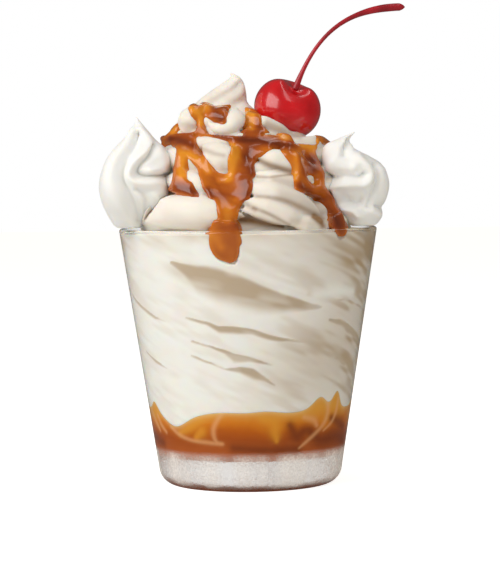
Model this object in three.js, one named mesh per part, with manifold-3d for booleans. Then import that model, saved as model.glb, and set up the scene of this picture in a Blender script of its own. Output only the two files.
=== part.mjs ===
// A caramel sundae in a clear tapered tumbler: caramel in the foot of the glass, a coiled rope
// of soft-serve over it, a thick caramel drizzle, two piped cream rosettes and a cherry on its stem.
// Millimetres, +Z up, origin at the centre of the glass's foot.
// Azimuths are in degrees round the glass's axis, from the front (-Y) towards the right (+X).
import * as THREE from "three";
import { mergeVertices } from "three/addons/utils/BufferGeometryUtils.js";
import Module from "manifold-3d";

const wasm = await Module();
wasm.setup();
const { degToRad, lerp, smoothstep } = THREE.MathUtils;

// ---- Driving dimensions -------------------------------------------------------------------

const GAP = 0.3; // kept between pieces that touch
const SLIVER = 0.03; // faces thinner than this, left by a cut, are dropped

const GLASS = {
  height: 87.4,
  rimRadius: 44,
  footRadius: 30.4, // where the tapered side would meet the table
  heelRadius: 6,
  rimWall: 1.7,
  footWall: 2.6,
  floor: 10.8, // thickness of the heavy base
  cornerRadius: 3,
  sides: 44,
};

const POOL = {
  level: 27.4, // height of the caramel at the wall
  middle: 24.5, // height of the caramel at the axis
  // azimuth, rise over the level, half width in degrees
  crests: [
    [-70, 2.6, 5],
    [-48, -5.4, 14],
    [44, 4.2, 7],
    [58, 5.4, 5],
    [90, 1.8, 9],
    [132, -4.2, 15],
    [168, 4.2, 6],
    [204, -3.6, 13],
    [240, 3.8, 7],
  ],
};

const FILL = {
  top: 89.5, // height of the packed soft-serve under the coils
  grooveDepth: 1.1, // of the shallow grooves between the packed turns
  groovePitch: 12.5,
  grooveRise: 34, // how far the grooves climb in one turn
  // Open folds that stand off the glass:
  // azimuth, height, half length in degrees, drop over that half length, half width, depth
  folds: [
    [-3, 69.6, 31, 4.2, 4.2, 4.6],
    [20, 78.5, 24, 2.4, 4.4, 3.2],
    [6, 54.2, 22, 2.8, 2.5, 4.4],
    [-3, 46.2, 15, 2.6, 2.1, 3.8],
    [1, 39.6, 14, 3.4, 2.7, 4.2],
    [63, 61.6, 15, 2.4, 1.7, 2.8],
    [70, 52.4, 16, 4.6, 2.7, 3.6],
    [57, 43.6, 11, 2.8, 1.6, 2.8],
    [64, 76, 16, 1.4, 6, 2.8],
    [-60, 71, 12, 3.4, 1.5, 2.2],
    [-52, 52, 12, 2.6, 1.3, 2],
  ],
  backFolds: 13, // more of them, spread over the back
  backFrom: 98,
  backTo: 262,
};

// The rope of soft-serve: azimuth, radius of the coil, height and radius of the rope itself.
const ROPE = {
  stations: [
    [1170, 31, 87.6, 7.4],
    [1080, 33, 91.2, 7.8],
    [900, 31.5, 96.6, 7.6],
    [720, 28.3, 102.3, 7.6],
    [540, 25.6, 107.4, 7.4],
    [360, 21.8, 112.8, 7.3],
    [180, 18, 115.4, 7],
    [85, 16.4, 117.2, 7],
    [0, 14.2, 120.4, 6.9],
    [-90, 12.4, 121.6, 6.9],
    [-160, 8.6, 123.2, 6.9],
    [-230, 4, 124.6, 6.6],
  ],
  ridges: 6,
  ridgeDepth: 0.09, // of the rope's radius
  twist: 0.05, // radians for each millimetre of rope
  steps: 86,
  stepsInOne: 10,
};
// The rope's end, drawn off upwards: sideways place, height and radius.
const PEAK = {
  stations: [
    [-9, 118, 7],
    [-8.8, 122.5, 8.8],
    [-8.4, 127, 9.2],
    [-7.8, 130.1, 8.3],
    [-6.9, 132.5, 6.7],
    [-6.1, 134.2, 5.6],
    [-5.4, 135.9, 4.5],
    [-4.7, 137.4, 3.4],
    [-4.3, 138.6, 2.2],
    [-4.7, 139.4, 1.4],
    [-5.6, 139.9, 0.9],
    [-6.9, 140.3, 0.3],
  ],
  twist: 0.07,
  steps: 12,
};
const LEAN = { reach: -7, from: 106, to: 130 }; // how far the top of the pile leans to the left

// The drizzle's strands: azimuth, height and half width of the strand.
const DRIZZLE = {
  proud: 0.2, // how far the middle of a strand stands off the soft-serve
  thinnest: 1.1, // half thickness that a strand gets, and its growth with the half width
  thickening: 0.36,
  sides: 6,
  step: 4.2,
  strands: [
    [[-78, 116.6, 1.3], [-50, 118.2, 1.7], [-24, 118.6, 1.3], [-1, 117.6, 1.8], [18, 116.4, 2.1], [34, 112.6, 2]],
    [[-49, 118.2, 2.2], [-42, 113.6, 2.2], [-41, 108, 2], [-39, 102.6, 3.2], [-33, 99.8, 3.6]],
    [[-42, 117.4, 2], [-31, 113, 2.2], [-25, 108.6, 2.4], [-18, 104, 2.8], [-11, 98, 3.2]],
    [[2, 117.4, 5], [0, 112.6, 5.4], [-4, 107.4, 5], [-8, 102, 6], [-10, 97, 4.4], [-9.5, 91, 3.2]],
    [[15, 116.6, 3.4], [8, 112.4, 3.6], [0, 108, 3]],
    [[29, 115.6, 2], [29, 110, 1.8], [28, 105, 1.8], [32, 100.6, 2], [39, 97.4, 2.1], [44, 92.4, 2]],
    [[37, 115.6, 3], [39, 110, 2.8], [41, 106, 2], [43, 100.8, 1.8], [45, 95, 2]],
    [[-40, 127.6, 2.2], [-27, 126.2, 3], [-12, 124.6, 3]],
    [[-20, 127.8, 2.2], [-24, 122, 1.9], [-27, 118.4, 1.6]],
    [[22, 127, 2.8], [20, 122.6, 3], [14, 118, 3]],
    [[38, 119.4, 2], [40, 116, 2], [60, 115.6, 2.6], [92, 117.4, 2.2], [112, 114.6, 2.4], [118, 108, 2.2]],
    [[-56, 122.6, 1.4], [-66, 119, 1.7], [-80, 114.6, 1.6], [-84, 108.6, 1.9]],
    [[112, 116, 2], [140, 118, 1.9], [168, 116.4, 1.8], [196, 118, 1.9], [226, 116.6, 1.8], [262, 117.6, 1.6], [284, 117, 1.4]],
    [[146, 117.6, 2.2], [150, 112, 2.1], [147, 105, 2], [151, 98, 2.4], [150, 92.6, 2.8]],
    [[194, 118, 2.6], [190, 112, 2.6], [195, 106, 2.2], [192, 99, 3]],
    [[226, 117, 2.2], [232, 111, 2], [228, 104.4, 1.9], [234, 98, 2.8]],
    [[196, 126.4, 2.6], [202, 121, 2.4], [208, 117.4, 2.2]],
  ],
  // The two runs that end inside the rim: azimuth, height and half width against the glass.
  drops: [
    [[-9.5, 92, 2.9], [-10, 87.6, 4.6], [-9, 83, 4.8], [-7, 79, 2.6], [-6.6, 77.4, 1.1]],
    [[44, 94, 2], [47, 90, 2.6], [48.4, 87, 2.8], [48.6, 85.4, 1.4]],
  ],
  dropSink: 1.2, // how far the middle of a drop is behind the glass
};

// The rosettes: place, size, lean of the tip, number of piped ridges and how far they wind.
const CREAM = {
  foot: 87.9,
  // share of the height, share of the radius
  profile: [
    [0, 0],
    [0.005, 0.5],
    [0.09, 0.86],
    [0.26, 1],
    [0.46, 1],
    [0.64, 0.86],
    [0.78, 0.58],
    [0.89, 0.27],
    [0.96, 0.1],
    [1, 0],
  ],
  columns: 28,
  rows: 13,
};
const ROSETTES = [
  { name: "whipped_cream_left", x: -37.5, y: -17.5, radius: 10.9, height: 37.1, tipX: 0.7, tipY: 0,
    hook: -1, ridges: 6, ridgeDepth: 0.14, wind: 95, start: 12 },
  { name: "whipped_cream_right", x: 36.1, y: -17.5, radius: 10, height: 31.6, tipX: -3.8, tipY: 0.5,
    hook: 3.8, ridges: 7, ridgeDepth: 0.13, wind: 85, start: 30 },
];

const CHERRY = {
  centre: [13.9, -0.5, 127.8],
  radius: 11.5,
  flatness: 0.93, // height over width
  dimpleDepth: 0.31, // of the radius
  dimpleWidth: 0.42, // radians from the axis
  tiltRight: 18, // of the fruit's axis, in degrees
  tiltFront: 30,
  columns: 18,
  rows: 11,
};

const STEM = {
  sides: 8,
  steps: 15,
  bendStart: [23.3, -2, 152.8], // control points of the stem's curve
  bendEnd: [34.3, 1.5, 162],
  tip: [54.2, 3, 161.8],
  // half thickness from foot to tip
  thickness: [[1.45], [1.05], [0.9], [0.88], [0.9], [0.95], [1.1], [1.45], [1.4]],
};

// ---- Helpers ------------------------------------------------------------------------------

// The point at an azimuth, a distance from the axis and a height.
function around(azimuth, radius, height) {
  const angle = degToRad(azimuth);
  return new THREE.Vector3(radius * Math.sin(angle), -radius * Math.cos(angle), height);
}

// A smooth value between the rows of a table, at a share t of the way through it (Catmull-Rom).
function blended(rows, t) {
  const last = rows.length - 1;
  const i = Math.min(Math.floor(t * last), last - 1);
  const f = t * last - i;
  return rows[i].map((from, k) => {
    const to = rows[i + 1][k];
    const before = i > 0 ? rows[i - 1][k] : 2 * from - to;
    const after = i + 2 <= last ? rows[i + 2][k] : 2 * to - from;
    const leave = (to - before) / 2;
    const arrive = (after - from) / 2;
    const bend = 3 * (to - from) - 2 * leave - arrive;
    return from + f * (leave + f * (bend + f * (leave + arrive - 2 * (to - from))));
  });
}

// The shortest way from one azimuth to another, in degrees.
function apart(a, b) {
  return ((((a - b) % 360) + 540) % 360) - 180;
}

// Random numbers from 0 to 1, the same in every run.
function seeded(seed) {
  let state = seed >>> 0;
  return () => {
    state = (Math.imul(state, 1664525) + 1013904223) >>> 0;
    return state / 4294967296;
  };
}

// A closed skin: a sphere's vertices moved to place(azimuth, t), with t from the foot to the top.
function skin(columns, rows, place) {
  const geometry = new THREE.SphereGeometry(1, columns, rows);
  const at = geometry.attributes.position;
  for (let i = 0; i < at.count; i += 1) {
    const column = i % (columns + 1);
    const row = Math.floor(i / (columns + 1));
    const point = place((360 * (column % columns)) / columns - 180, 1 - row / rows);
    at.setXYZ(i, point.x, point.y, point.z);
  }
  return geometry;
}

// Right-handed frames along a line of points, carried forward without turning round it.
function framesAlong(points, firstNormal) {
  const normal = firstNormal.clone();
  let travelled = 0;
  return points.map((origin, i) => {
    const ahead = points[Math.min(i + 1, points.length - 1)];
    const behind = points[Math.max(i - 1, 0)];
    const tangent = ahead.clone().sub(behind).normalize();
    normal.addScaledVector(tangent, -normal.dot(tangent)).normalize();
    if (i > 0) travelled += origin.distanceTo(points[i - 1]);
    const side = normal.clone().cross(tangent);
    return { step: i, origin, travelled, normal: normal.clone(), side };
  });
}

// A closed cylinder bent along a line of frames, and twisted by so many radians a millimetre;
// radiusAt(step, angle) is its radius.
function bent(frames, sides, radiusAt, twist = 0) {
  const steps = frames.length - 1;
  const geometry = new THREE.CylinderGeometry(1, 1, 1, sides, steps);
  const at = geometry.attributes.position;
  for (let i = 0; i < at.count; i += 1) {
    const frame = frames[Math.round((at.getY(i) + 0.5) * steps)];
    const angle = Math.atan2(at.getZ(i), at.getX(i));
    const reach = Math.hypot(at.getX(i), at.getZ(i)) * radiusAt(frame.step, angle);
    const turn = angle + twist * frame.travelled;
    const point = frame.origin
      .clone()
      .addScaledVector(frame.normal, reach * Math.cos(turn))
      .addScaledVector(frame.side, reach * Math.sin(turn));
    at.setXYZ(i, point.x, point.y, point.z);
  }
  return geometry;
}

// A three.js geometry as a manifold solid, its faces pointing out.
function solid(geometry) {
  const bare = geometry.index ? geometry.toNonIndexed() : geometry.clone();
  bare.deleteAttribute("normal");
  bare.deleteAttribute("uv");
  const merged = mergeVertices(bare, 1e-4);
  const corners = merged.index.array;
  const kept = [];
  for (let i = 0; i < corners.length; i += 3) {
    const [a, b, c] = [corners[i], corners[i + 1], corners[i + 2]];
    if (a !== b && b !== c && c !== a) kept.push(a, b, c);
  }
  const vertProperties = merged.attributes.position.array;
  return new wasm.Manifold(
    new wasm.Mesh({ numProp: 3, vertProperties, triVerts: new Uint32Array(kept) }),
  );
}

// The largest piece of a solid that a cut has left with loose scraps.
function largest(made) {
  const pieces = made.decompose();
  return pieces.reduce((best, piece) => (piece.volume() > best.volume() ? piece : best));
}

function geometryOf(made) {
  const { vertProperties, triVerts } = made.getMesh();
  return new THREE.BufferGeometry()
    .setAttribute("position", new THREE.BufferAttribute(vertProperties, 3))
    .setIndex(new THREE.BufferAttribute(triVerts, 1));
}

const material = (color, roughness, extra = {}) =>
  new THREE.MeshStandardMaterial({ color, roughness, metalness: 0, ...extra });

const sundae = new THREE.Group();

function addPiece(name, made, finish) {
  const geometry = geometryOf(made);
  geometry.computeVertexNormals();
  const mesh = new THREE.Mesh(geometry, finish);
  mesh.name = name;
  sundae.add(mesh);
}

// ---- Glass: a pressed tumbler with a heavy base and a rounded heel ---------------------------

function outerRadius(z) {
  return lerp(GLASS.footRadius, GLASS.rimRadius, z / GLASS.height);
}

function innerRadius(z) {
  return outerRadius(z) - lerp(GLASS.footWall, GLASS.rimWall, z / GLASS.height);
}

// Points of an arc in a profile, from one angle to another in degrees.
function arc(r, z, radius, from, to, steps) {
  return Array.from({ length: steps + 1 }, (_, i) => {
    const angle = degToRad(lerp(from, to, i / steps));
    return new THREE.Vector2(r + radius * Math.cos(angle), z + radius * Math.sin(angle));
  });
}

function turned(profile, sides) {
  return new THREE.LatheGeometry(profile, sides).rotateX(Math.PI / 2);
}

function tumbler() {
  const taper = Math.atan2(GLASS.rimRadius - GLASS.footRadius, GLASS.height);
  const lean = (taper * 180) / Math.PI;
  const heel = GLASS.heelRadius;
  const heelCentre = outerRadius(heel) - heel / Math.cos(taper);
  const lip = GLASS.rimWall / 2;
  const lipCentre = outerRadius(GLASS.height - lip) - lip;
  const corner = GLASS.cornerRadius;
  const cornerZ = GLASS.floor + corner;
  return turned(
    [
      new THREE.Vector2(0, 0),
      new THREE.Vector2(heelCentre * 0.6, 0),
      ...arc(heelCentre, heel, heel, -90, -lean, 4),
      new THREE.Vector2(outerRadius(46), 46),
      ...arc(lipCentre, GLASS.height - lip, lip, -lean, 180 - lean, 4),
      new THREE.Vector2(innerRadius(46), 46),
      ...arc(innerRadius(cornerZ) - corner, cornerZ, corner, 0, -90, 2),
      new THREE.Vector2(0, GLASS.floor),
    ],
    GLASS.sides,
  );
}

// ---- Caramel in the foot of the glass --------------------------------------------------------

// Height of the boundary between the caramel and the soft-serve over it.
function poolTop(azimuth, share) {
  let crest = POOL.level;
  for (const [middle, rise, width] of POOL.crests) {
    crest += rise * Math.exp(-((apart(azimuth, middle) / width) ** 2));
  }
  return lerp(POOL.middle, crest, share ** 3);
}

function caramelPool() {
  const bottom = GLASS.floor + GAP;
  const corner = GLASS.cornerRadius;
  const [floorRows, sideRows, rows] = [3, 6, 10];
  return skin(GLASS.sides, rows, (azimuth, t) => {
    const row = Math.round(t * rows);
    if (row <= floorRows) {
      const turn = ((row - 1) / (floorRows - 1)) * (Math.PI / 2);
      if (row === 0) return around(0, 0, bottom);
      const flat = innerRadius(bottom + corner) - GAP - corner;
      return around(azimuth, flat + corner * Math.sin(turn), bottom + corner * (1 - Math.cos(turn)));
    }
    if (row <= sideRows) {
      const share = (row - floorRows) / (sideRows - floorRows);
      const z = lerp(bottom + corner, poolTop(azimuth, 1), share);
      return around(azimuth, innerRadius(z) - GAP, z);
    }
    const share = (rows - row) / (rows - sideRows);
    const edge = innerRadius(poolTop(azimuth, 1)) - GAP;
    return around(azimuth, edge * share, poolTop(azimuth, share));
  });
}

// ---- Soft-serve ------------------------------------------------------------------------------

// The open folds in front, and more of them spread unevenly over the back.
function allFolds() {
  const random = seeded(7);
  const folds = FILL.folds.slice();
  for (let i = 0; i < FILL.backFolds; i += 1) {
    const azimuth = lerp(FILL.backFrom, FILL.backTo, (i + random()) / FILL.backFolds);
    const height = lerp(38, 80, ((i * 5) % FILL.backFolds) / FILL.backFolds) + 3 * random();
    folds.push([azimuth, height, 12 + 12 * random(), 2 + 2 * random(), 1.5 + 2 * random(), 2.6 + 2 * random()]);
  }
  return folds;
}
const folds = allFolds();

// How far the soft-serve stands off the glass: shallow slanting grooves, and deep folds whose
// left end is blunt and whose right end runs out.
function recess(azimuth, z) {
  const turns = (z + (azimuth * FILL.grooveRise) / 360) / FILL.groovePitch;
  const wave = Math.cos(2 * Math.PI * turns + 0.8 * Math.sin(degToRad(3 * azimuth) + z / 9));
  let depth = FILL.grooveDepth * smoothstep(wave, 0.72, 1);
  for (const [middle, height, halfLength, drop, halfWidth, fullDepth] of folds) {
    const along = apart(azimuth, middle) / halfLength;
    if (Math.abs(along) >= 1) continue;
    const opening = 1.25 * (1 + along) ** 0.35 * (1 - along) ** 0.9;
    const across = Math.abs(z - height + drop * along) / (halfWidth * Math.min(opening, 1.1));
    depth = Math.max(depth, fullDepth * (1 - smoothstep(across, 0.35, 1)));
  }
  return depth;
}

function packedFill() {
  const [bottomRows, topRows, rows] = [2, 1, 31];
  return skin(GLASS.sides, rows, (azimuth, t) => {
    const row = Math.round(t * rows);
    if (row <= bottomRows) {
      const share = row / bottomRows;
      const edge = innerRadius(poolTop(azimuth, 1)) - 1.4 * GAP;
      return around(azimuth, edge * share, poolTop(azimuth, share) + 2 * GAP);
    }
    const share = (row - bottomRows) / (rows - topRows - bottomRows);
    if (share <= 1) {
      const z = lerp(poolTop(azimuth, 1) + 2 * GAP, FILL.top, share);
      return around(azimuth, innerRadius(z) - 1.4 * GAP - recess(azimuth, z), z);
    }
    return around(azimuth, (innerRadius(FILL.top) * (rows - row)) / (topRows + 1), FILL.top + 1);
  });
}

function leanAt(z) {
  return LEAN.reach * smoothstep(z, LEAN.from, LEAN.to);
}

// The coiled rope, joined from lengths of less than one turn, which don't run into themselves.
function rope() {
  const points = [];
  const radii = [];
  for (let i = 0; i <= ROPE.steps; i += 1) {
    const [azimuth, coil, z, radius] = blended(ROPE.stations, i / ROPE.steps);
    const point = around(azimuth, coil, z);
    point.x += leanAt(z);
    points.push(point);
    radii.push(radius);
  }
  const frames = framesAlong(points, around(ROPE.stations[0][0], 1, 0));
  const radiusAt = (step, angle) =>
    radii[step] * (1 + ROPE.ridgeDepth * Math.cos(ROPE.ridges * angle));
  const lengths = [];
  for (let start = 0; start < ROPE.steps; start += ROPE.stepsInOne) {
    const some = frames.slice(start, start + ROPE.stepsInOne + 2);
    if (some.length > 1) lengths.push(solid(bent(some, 2 * ROPE.ridges, radiusAt, ROPE.twist)));
  }
  return lengths.reduce((joined, length) => joined.add(length));
}

// The pulled-up end of the rope, with the rope's ridges still winding round it.
function peak() {
  const run = Array.from({ length: PEAK.steps + 1 }, (_, i) =>
    blended(PEAK.stations, i / PEAK.steps),
  );
  const points = run.map(([x, z]) => new THREE.Vector3(x, 0, z));
  const radiusAt = (step, angle) =>
    run[step][2] * (1 + ROPE.ridgeDepth * Math.cos(ROPE.ridges * angle));
  const frames = framesAlong(points, new THREE.Vector3(0, -1, 0));
  return bent(frames, 2 * ROPE.ridges, radiusAt, PEAK.twist);
}

// ---- Drizzle ---------------------------------------------------------------------------------

// Distance from the pile's leaning axis to its outside, at an azimuth and a height.
function surfaceFinder(pile) {
  const target = new THREE.Mesh(
    geometryOf(pile),
    new THREE.MeshBasicMaterial({ side: THREE.DoubleSide }),
  );
  target.geometry.computeVertexNormals();
  target.updateMatrixWorld(true);
  const caster = new THREE.Raycaster();
  return (azimuth, z) => {
    const axis = new THREE.Vector3(leanAt(z), 0, z);
    const outward = around(azimuth, 1, 0);
    caster.set(axis.clone().addScaledVector(outward, 70), outward.clone().negate());
    const hit = caster.intersectObject(target)[0];
    return hit ? hit.point.distanceTo(axis) : 0;
  };
}

// A strand of caramel that follows the pile, bridges its creases and ends in rounded tips.
function strand(stations, surface) {
  const steps = Math.max(6, Math.round(strandLength(stations) / DRIZZLE.step));
  const run = Array.from({ length: steps + 1 }, (_, i) => blended(stations, i / steps));
  const found = run.map(([azimuth, z]) => surface(azimuth, z));
  const points = run.map(([azimuth, z, half], i) => {
    const near = found.slice(Math.max(0, i - 2), i + 3);
    const mean = near.reduce((sum, r) => sum + r, 0) / near.length;
    const reach = Math.max(mean, found[i]) + DRIZZLE.proud;
    const point = around(azimuth, reach, z);
    point.x += leanAt(z);
    return point;
  });
  const frames = framesAlong(points, around(stations[0][0], 1, 0));
  return bent(frames, DRIZZLE.sides, (step, angle) => {
    const end = Math.min(step, steps - step) / 2;
    return flattened(run[step][2], angle) * Math.sqrt(Math.min(1, 0.3 + 0.7 * end));
  });
}

// Half thickness of a strand off the surface that it lies on.
function halfThickness(half) {
  return Math.min(half, DRIZZLE.thinnest + DRIZZLE.thickening * half);
}

// Radius of an oval section at an angle from its thin direction.
function flattened(half, angle) {
  return 1 / Math.hypot(Math.cos(angle) / halfThickness(half), Math.sin(angle) / half);
}

function strandLength(stations) {
  let length = 0;
  for (let i = 1; i < stations.length; i += 1) {
    const [a, b] = [stations[i - 1], stations[i]];
    const radius = 27;
    length += Math.hypot(degToRad(b[0] - a[0]) * radius, b[1] - a[1]);
  }
  return length;
}

// A drop that has run down inside the rim and spread against the glass.
function drop(stations) {
  const steps = 7;
  const run = Array.from({ length: steps + 1 }, (_, i) => blended(stations, i / steps));
  const points = run.map(([azimuth, z]) => around(azimuth, innerRadius(z) - DRIZZLE.dropSink, z));
  const frames = framesAlong(points, around(stations[0][0], 1, 0));
  return bent(frames, DRIZZLE.sides, (step, angle) => flattened(run[step][2], angle));
}

// ---- Whipped cream ---------------------------------------------------------------------------

// The point of a rosette at an azimuth, a share of its height and a radius.
function onRosette(form, azimuth, rise, radius) {
  const point = around(azimuth, radius, CREAM.foot + form.height * rise);
  const bend = smoothstep(rise, 0.25, 1) ** 1.5;
  point.x += form.x + form.tipX * bend + form.hook * smoothstep(rise, 0.86, 1);
  point.y += form.y + form.tipY * bend;
  return point;
}

// A star-piped rosette, its ridges winding round it on the way up.
function rosette(form) {
  return skin(CREAM.columns, CREAM.rows, (azimuth, t) => {
    const [rise, width] = blended(CREAM.profile, t).map((share) => Math.max(0, share));
    const wound = azimuth + form.start + form.wind * rise ** 1.2;
    const ridge = form.ridgeDepth * Math.cos(degToRad(form.ridges * wound));
    return onRosette(form, azimuth, rise, width * form.radius * (1 + ridge * (1 - 0.3 * rise)));
  });
}

// The plain nest that the soft-serve leaves for a rosette.
function nest(form) {
  const rows = 9;
  return skin(18, rows, (azimuth, t) => {
    const [rise, width] = blended(CREAM.profile, t).map((share) => Math.max(0, share));
    const radius = width * form.radius * (1 + form.ridgeDepth * (1 - 0.3 * rise));
    const spread = t > 0 && t < 1 ? 2 * GAP : 0;
    const point = onRosette(form, azimuth, rise, radius + spread);
    point.z += 2 * GAP * (2 * rise - 1);
    return point;
  });
}

// ---- Cherry ----------------------------------------------------------------------------------

function cherryPlacing() {
  const tilt = new THREE.Euler(degToRad(CHERRY.tiltFront), degToRad(CHERRY.tiltRight), 0);
  return new THREE.Matrix4()
    .makeRotationFromEuler(tilt)
    .setPosition(new THREE.Vector3(...CHERRY.centre));
}

// Height of the fruit over its centre along its own axis, at an angle from that axis.
function cherryRadius(angle) {
  const dimple = CHERRY.dimpleDepth * Math.exp(-((angle / CHERRY.dimpleWidth) ** 2));
  return CHERRY.radius * (1 - dimple);
}

function cherry(columns, rows, clearance = 0) {
  return skin(columns, rows, (azimuth, t) => {
    const angle = Math.PI * (1 - t);
    const reach = cherryRadius(angle) + clearance;
    const height = reach * Math.cos(angle) * CHERRY.flatness;
    return around(azimuth, reach * Math.sin(angle), height);
  }).applyMatrix4(cherryPlacing());
}

function cherryStem() {
  const foot = new THREE.Vector3(0, 0, cherryRadius(0) * CHERRY.flatness + 4 * GAP);
  const curve = new THREE.CubicBezierCurve3(
    foot.applyMatrix4(cherryPlacing()),
    new THREE.Vector3(...STEM.bendStart),
    new THREE.Vector3(...STEM.bendEnd),
    new THREE.Vector3(...STEM.tip),
  );
  const frames = framesAlong(curve.getPoints(STEM.steps), new THREE.Vector3(0, -1, 0));
  return bent(frames, STEM.sides, (step) => {
    const left = STEM.steps - step;
    const round = left === 0 ? 0.55 : 1;
    return blended(STEM.thickness, step / STEM.steps)[0] * round;
  });
}

// ---- Putting the sundae together -------------------------------------------------------------

const pile = solid(packedFill()).add(rope()).add(solid(peak()));
const surface = surfaceFinder(pile);

let dressed = pile;
for (const stations of DRIZZLE.strands) dressed = dressed.add(solid(strand(stations, surface)));
for (const stations of DRIZZLE.drops) dressed = dressed.add(solid(drop(stations)));

// The room that the food has: the glass's inside, and free space over the rim.
const room = solid(
  turned(
    [
      new THREE.Vector2(0, GLASS.floor),
      new THREE.Vector2(innerRadius(GLASS.floor) - GAP, GLASS.floor),
      new THREE.Vector2(innerRadius(GLASS.height) - GAP, GLASS.height + GAP),
      new THREE.Vector2(GLASS.rimRadius + 20, GLASS.height + GAP),
      new THREE.Vector2(GLASS.rimRadius + 20, 200),
      new THREE.Vector2(0, 200),
    ],
    GLASS.sides,
  ),
);
dressed = dressed.intersect(room);
for (const form of ROSETTES) dressed = dressed.subtract(solid(nest(form)));
dressed = dressed.subtract(solid(cherry(14, 9, 2 * GAP)));
dressed = largest(dressed).simplify(SLIVER);

const glassFinish = material(0xf2f6f5, 0.05, { transparent: true, opacity: 0.35 });
addPiece("glass", solid(tumbler()), glassFinish);
addPiece("caramel_pool", solid(caramelPool()), material(0xb5590f, 0.3));
addPiece("soft_serve", dressed, material(0xf1e6d4, 0.55));
for (const form of ROSETTES) addPiece(form.name, solid(rosette(form)), material(0xf8f7f2, 0.6));
addPiece("cherry", solid(cherry(CHERRY.columns, CHERRY.rows)), material(0xc4101a, 0.15));
addPiece("cherry_stem", solid(cherryStem()), material(0x8a1420, 0.3));

export default sundae;
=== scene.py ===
import math

import bpy
import numpy as np
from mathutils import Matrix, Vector
from mathutils.bvhtree import BVHTree


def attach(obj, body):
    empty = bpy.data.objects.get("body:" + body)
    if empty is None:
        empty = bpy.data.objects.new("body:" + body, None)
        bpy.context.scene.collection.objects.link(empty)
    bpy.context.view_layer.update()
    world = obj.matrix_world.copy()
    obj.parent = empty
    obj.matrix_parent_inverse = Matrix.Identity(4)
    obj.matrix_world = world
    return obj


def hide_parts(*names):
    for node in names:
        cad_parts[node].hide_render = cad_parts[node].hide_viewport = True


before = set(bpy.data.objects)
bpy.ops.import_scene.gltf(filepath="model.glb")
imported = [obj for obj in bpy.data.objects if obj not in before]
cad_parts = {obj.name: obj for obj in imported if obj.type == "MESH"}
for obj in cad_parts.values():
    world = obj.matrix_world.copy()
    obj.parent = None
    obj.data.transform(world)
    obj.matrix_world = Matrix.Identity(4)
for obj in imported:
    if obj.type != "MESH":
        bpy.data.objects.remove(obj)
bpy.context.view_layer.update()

MM = 0.001  # sizes below are in millimetres

# ---- Tumbler ---------------------------------------------------------------------------------
# A small pressed tumbler of clear glass with a heavy base, a rounded heel and a fire-polished
# lip. It is turned from one profile. Fine dew clings to the cold base.

RIM_HEIGHT = 87.4
RIM_RADIUS = 44.0
FOOT_RADIUS = 30.4  # where the tapered side would meet the table
RIM_WALL = 1.7
FOOT_WALL = 2.6
HEEL = 6.0
FLOOR = 10.8  # thickness of the base
FLOOR_CORNER = 3.0


def outer_wall(z):
    return FOOT_RADIUS + (RIM_RADIUS - FOOT_RADIUS) * z / RIM_HEIGHT


def inner_wall(z):
    return outer_wall(z) - (FOOT_WALL + (RIM_WALL - FOOT_WALL) * z / RIM_HEIGHT)


def arc(r, z, radius, start, end, steps):
    turns = [math.radians(start + (end - start) * i / steps) for i in range(steps + 1)]
    return [(r + radius * math.cos(turn), z + radius * math.sin(turn)) for turn in turns]


def tumbler_profile():
    taper = math.atan2(RIM_RADIUS - FOOT_RADIUS, RIM_HEIGHT)
    lean = math.degrees(taper)
    heel_centre = outer_wall(HEEL) - HEEL / math.cos(taper)
    lip = RIM_WALL / 2
    lip_centre = outer_wall(RIM_HEIGHT - lip) - lip
    corner_z = FLOOR + FLOOR_CORNER
    side_heights = (20, 34, 48, 62, 76)
    return (
        [(0, 0.9), (8, 0.9), (17, 0.7), (21, 0.1)]
        + arc(heel_centre, HEEL, HEEL, -90, -lean, 12)
        + [(outer_wall(z), z) for z in side_heights]
        + arc(lip_centre, RIM_HEIGHT - lip, lip, -lean, 180 - lean, 10)
        + [(inner_wall(z), z) for z in reversed(side_heights)]
        + arc(inner_wall(corner_z) - FLOOR_CORNER, corner_z, FLOOR_CORNER, 0, -90, 8)
        + [(18, FLOOR), (8, FLOOR), (0, FLOOR)]
    )


def only(piece):
    bpy.ops.object.select_all(action="DESELECT")
    piece.select_set(True)
    bpy.context.view_layer.objects.active = piece


def named(piece, name):
    piece.name = piece.data.name = name
    return piece


def welded():
    """Ends the edit of a mesh: doubled points are merged and its faces turned outward."""
    bpy.ops.mesh.select_all(action="SELECT")
    bpy.ops.mesh.remove_doubles(threshold=1e-6)
    bpy.ops.mesh.normals_make_consistent(inside=False)
    bpy.ops.object.mode_set(mode="OBJECT")


def spun(name, profile, steps):
    """A turned piece: its profile is extruded point by point and spun round the axis."""
    bpy.ops.object.select_all(action="DESELECT")
    bpy.ops.mesh.primitive_plane_add(size=MM, location=(0, 0, 0))
    piece = named(bpy.context.object, name)
    bpy.ops.object.mode_set(mode="EDIT")
    bpy.ops.mesh.select_all(action="SELECT")
    bpy.ops.mesh.merge(type="CENTER")
    at = Vector((0, 0, 0))
    for i, (r, z) in enumerate(profile):
        step = Vector((r * MM, 0, z * MM)) - at
        at += step
        if i:
            bpy.ops.mesh.extrude_region_move(TRANSFORM_OT_translate={"value": step})
        else:
            bpy.ops.transform.translate(value=step)
    bpy.ops.mesh.select_all(action="SELECT")
    bpy.ops.mesh.spin(steps=steps, angle=2 * math.pi, center=(0, 0, 0), axis=(0, 0, 1))
    welded()
    return piece


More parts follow.
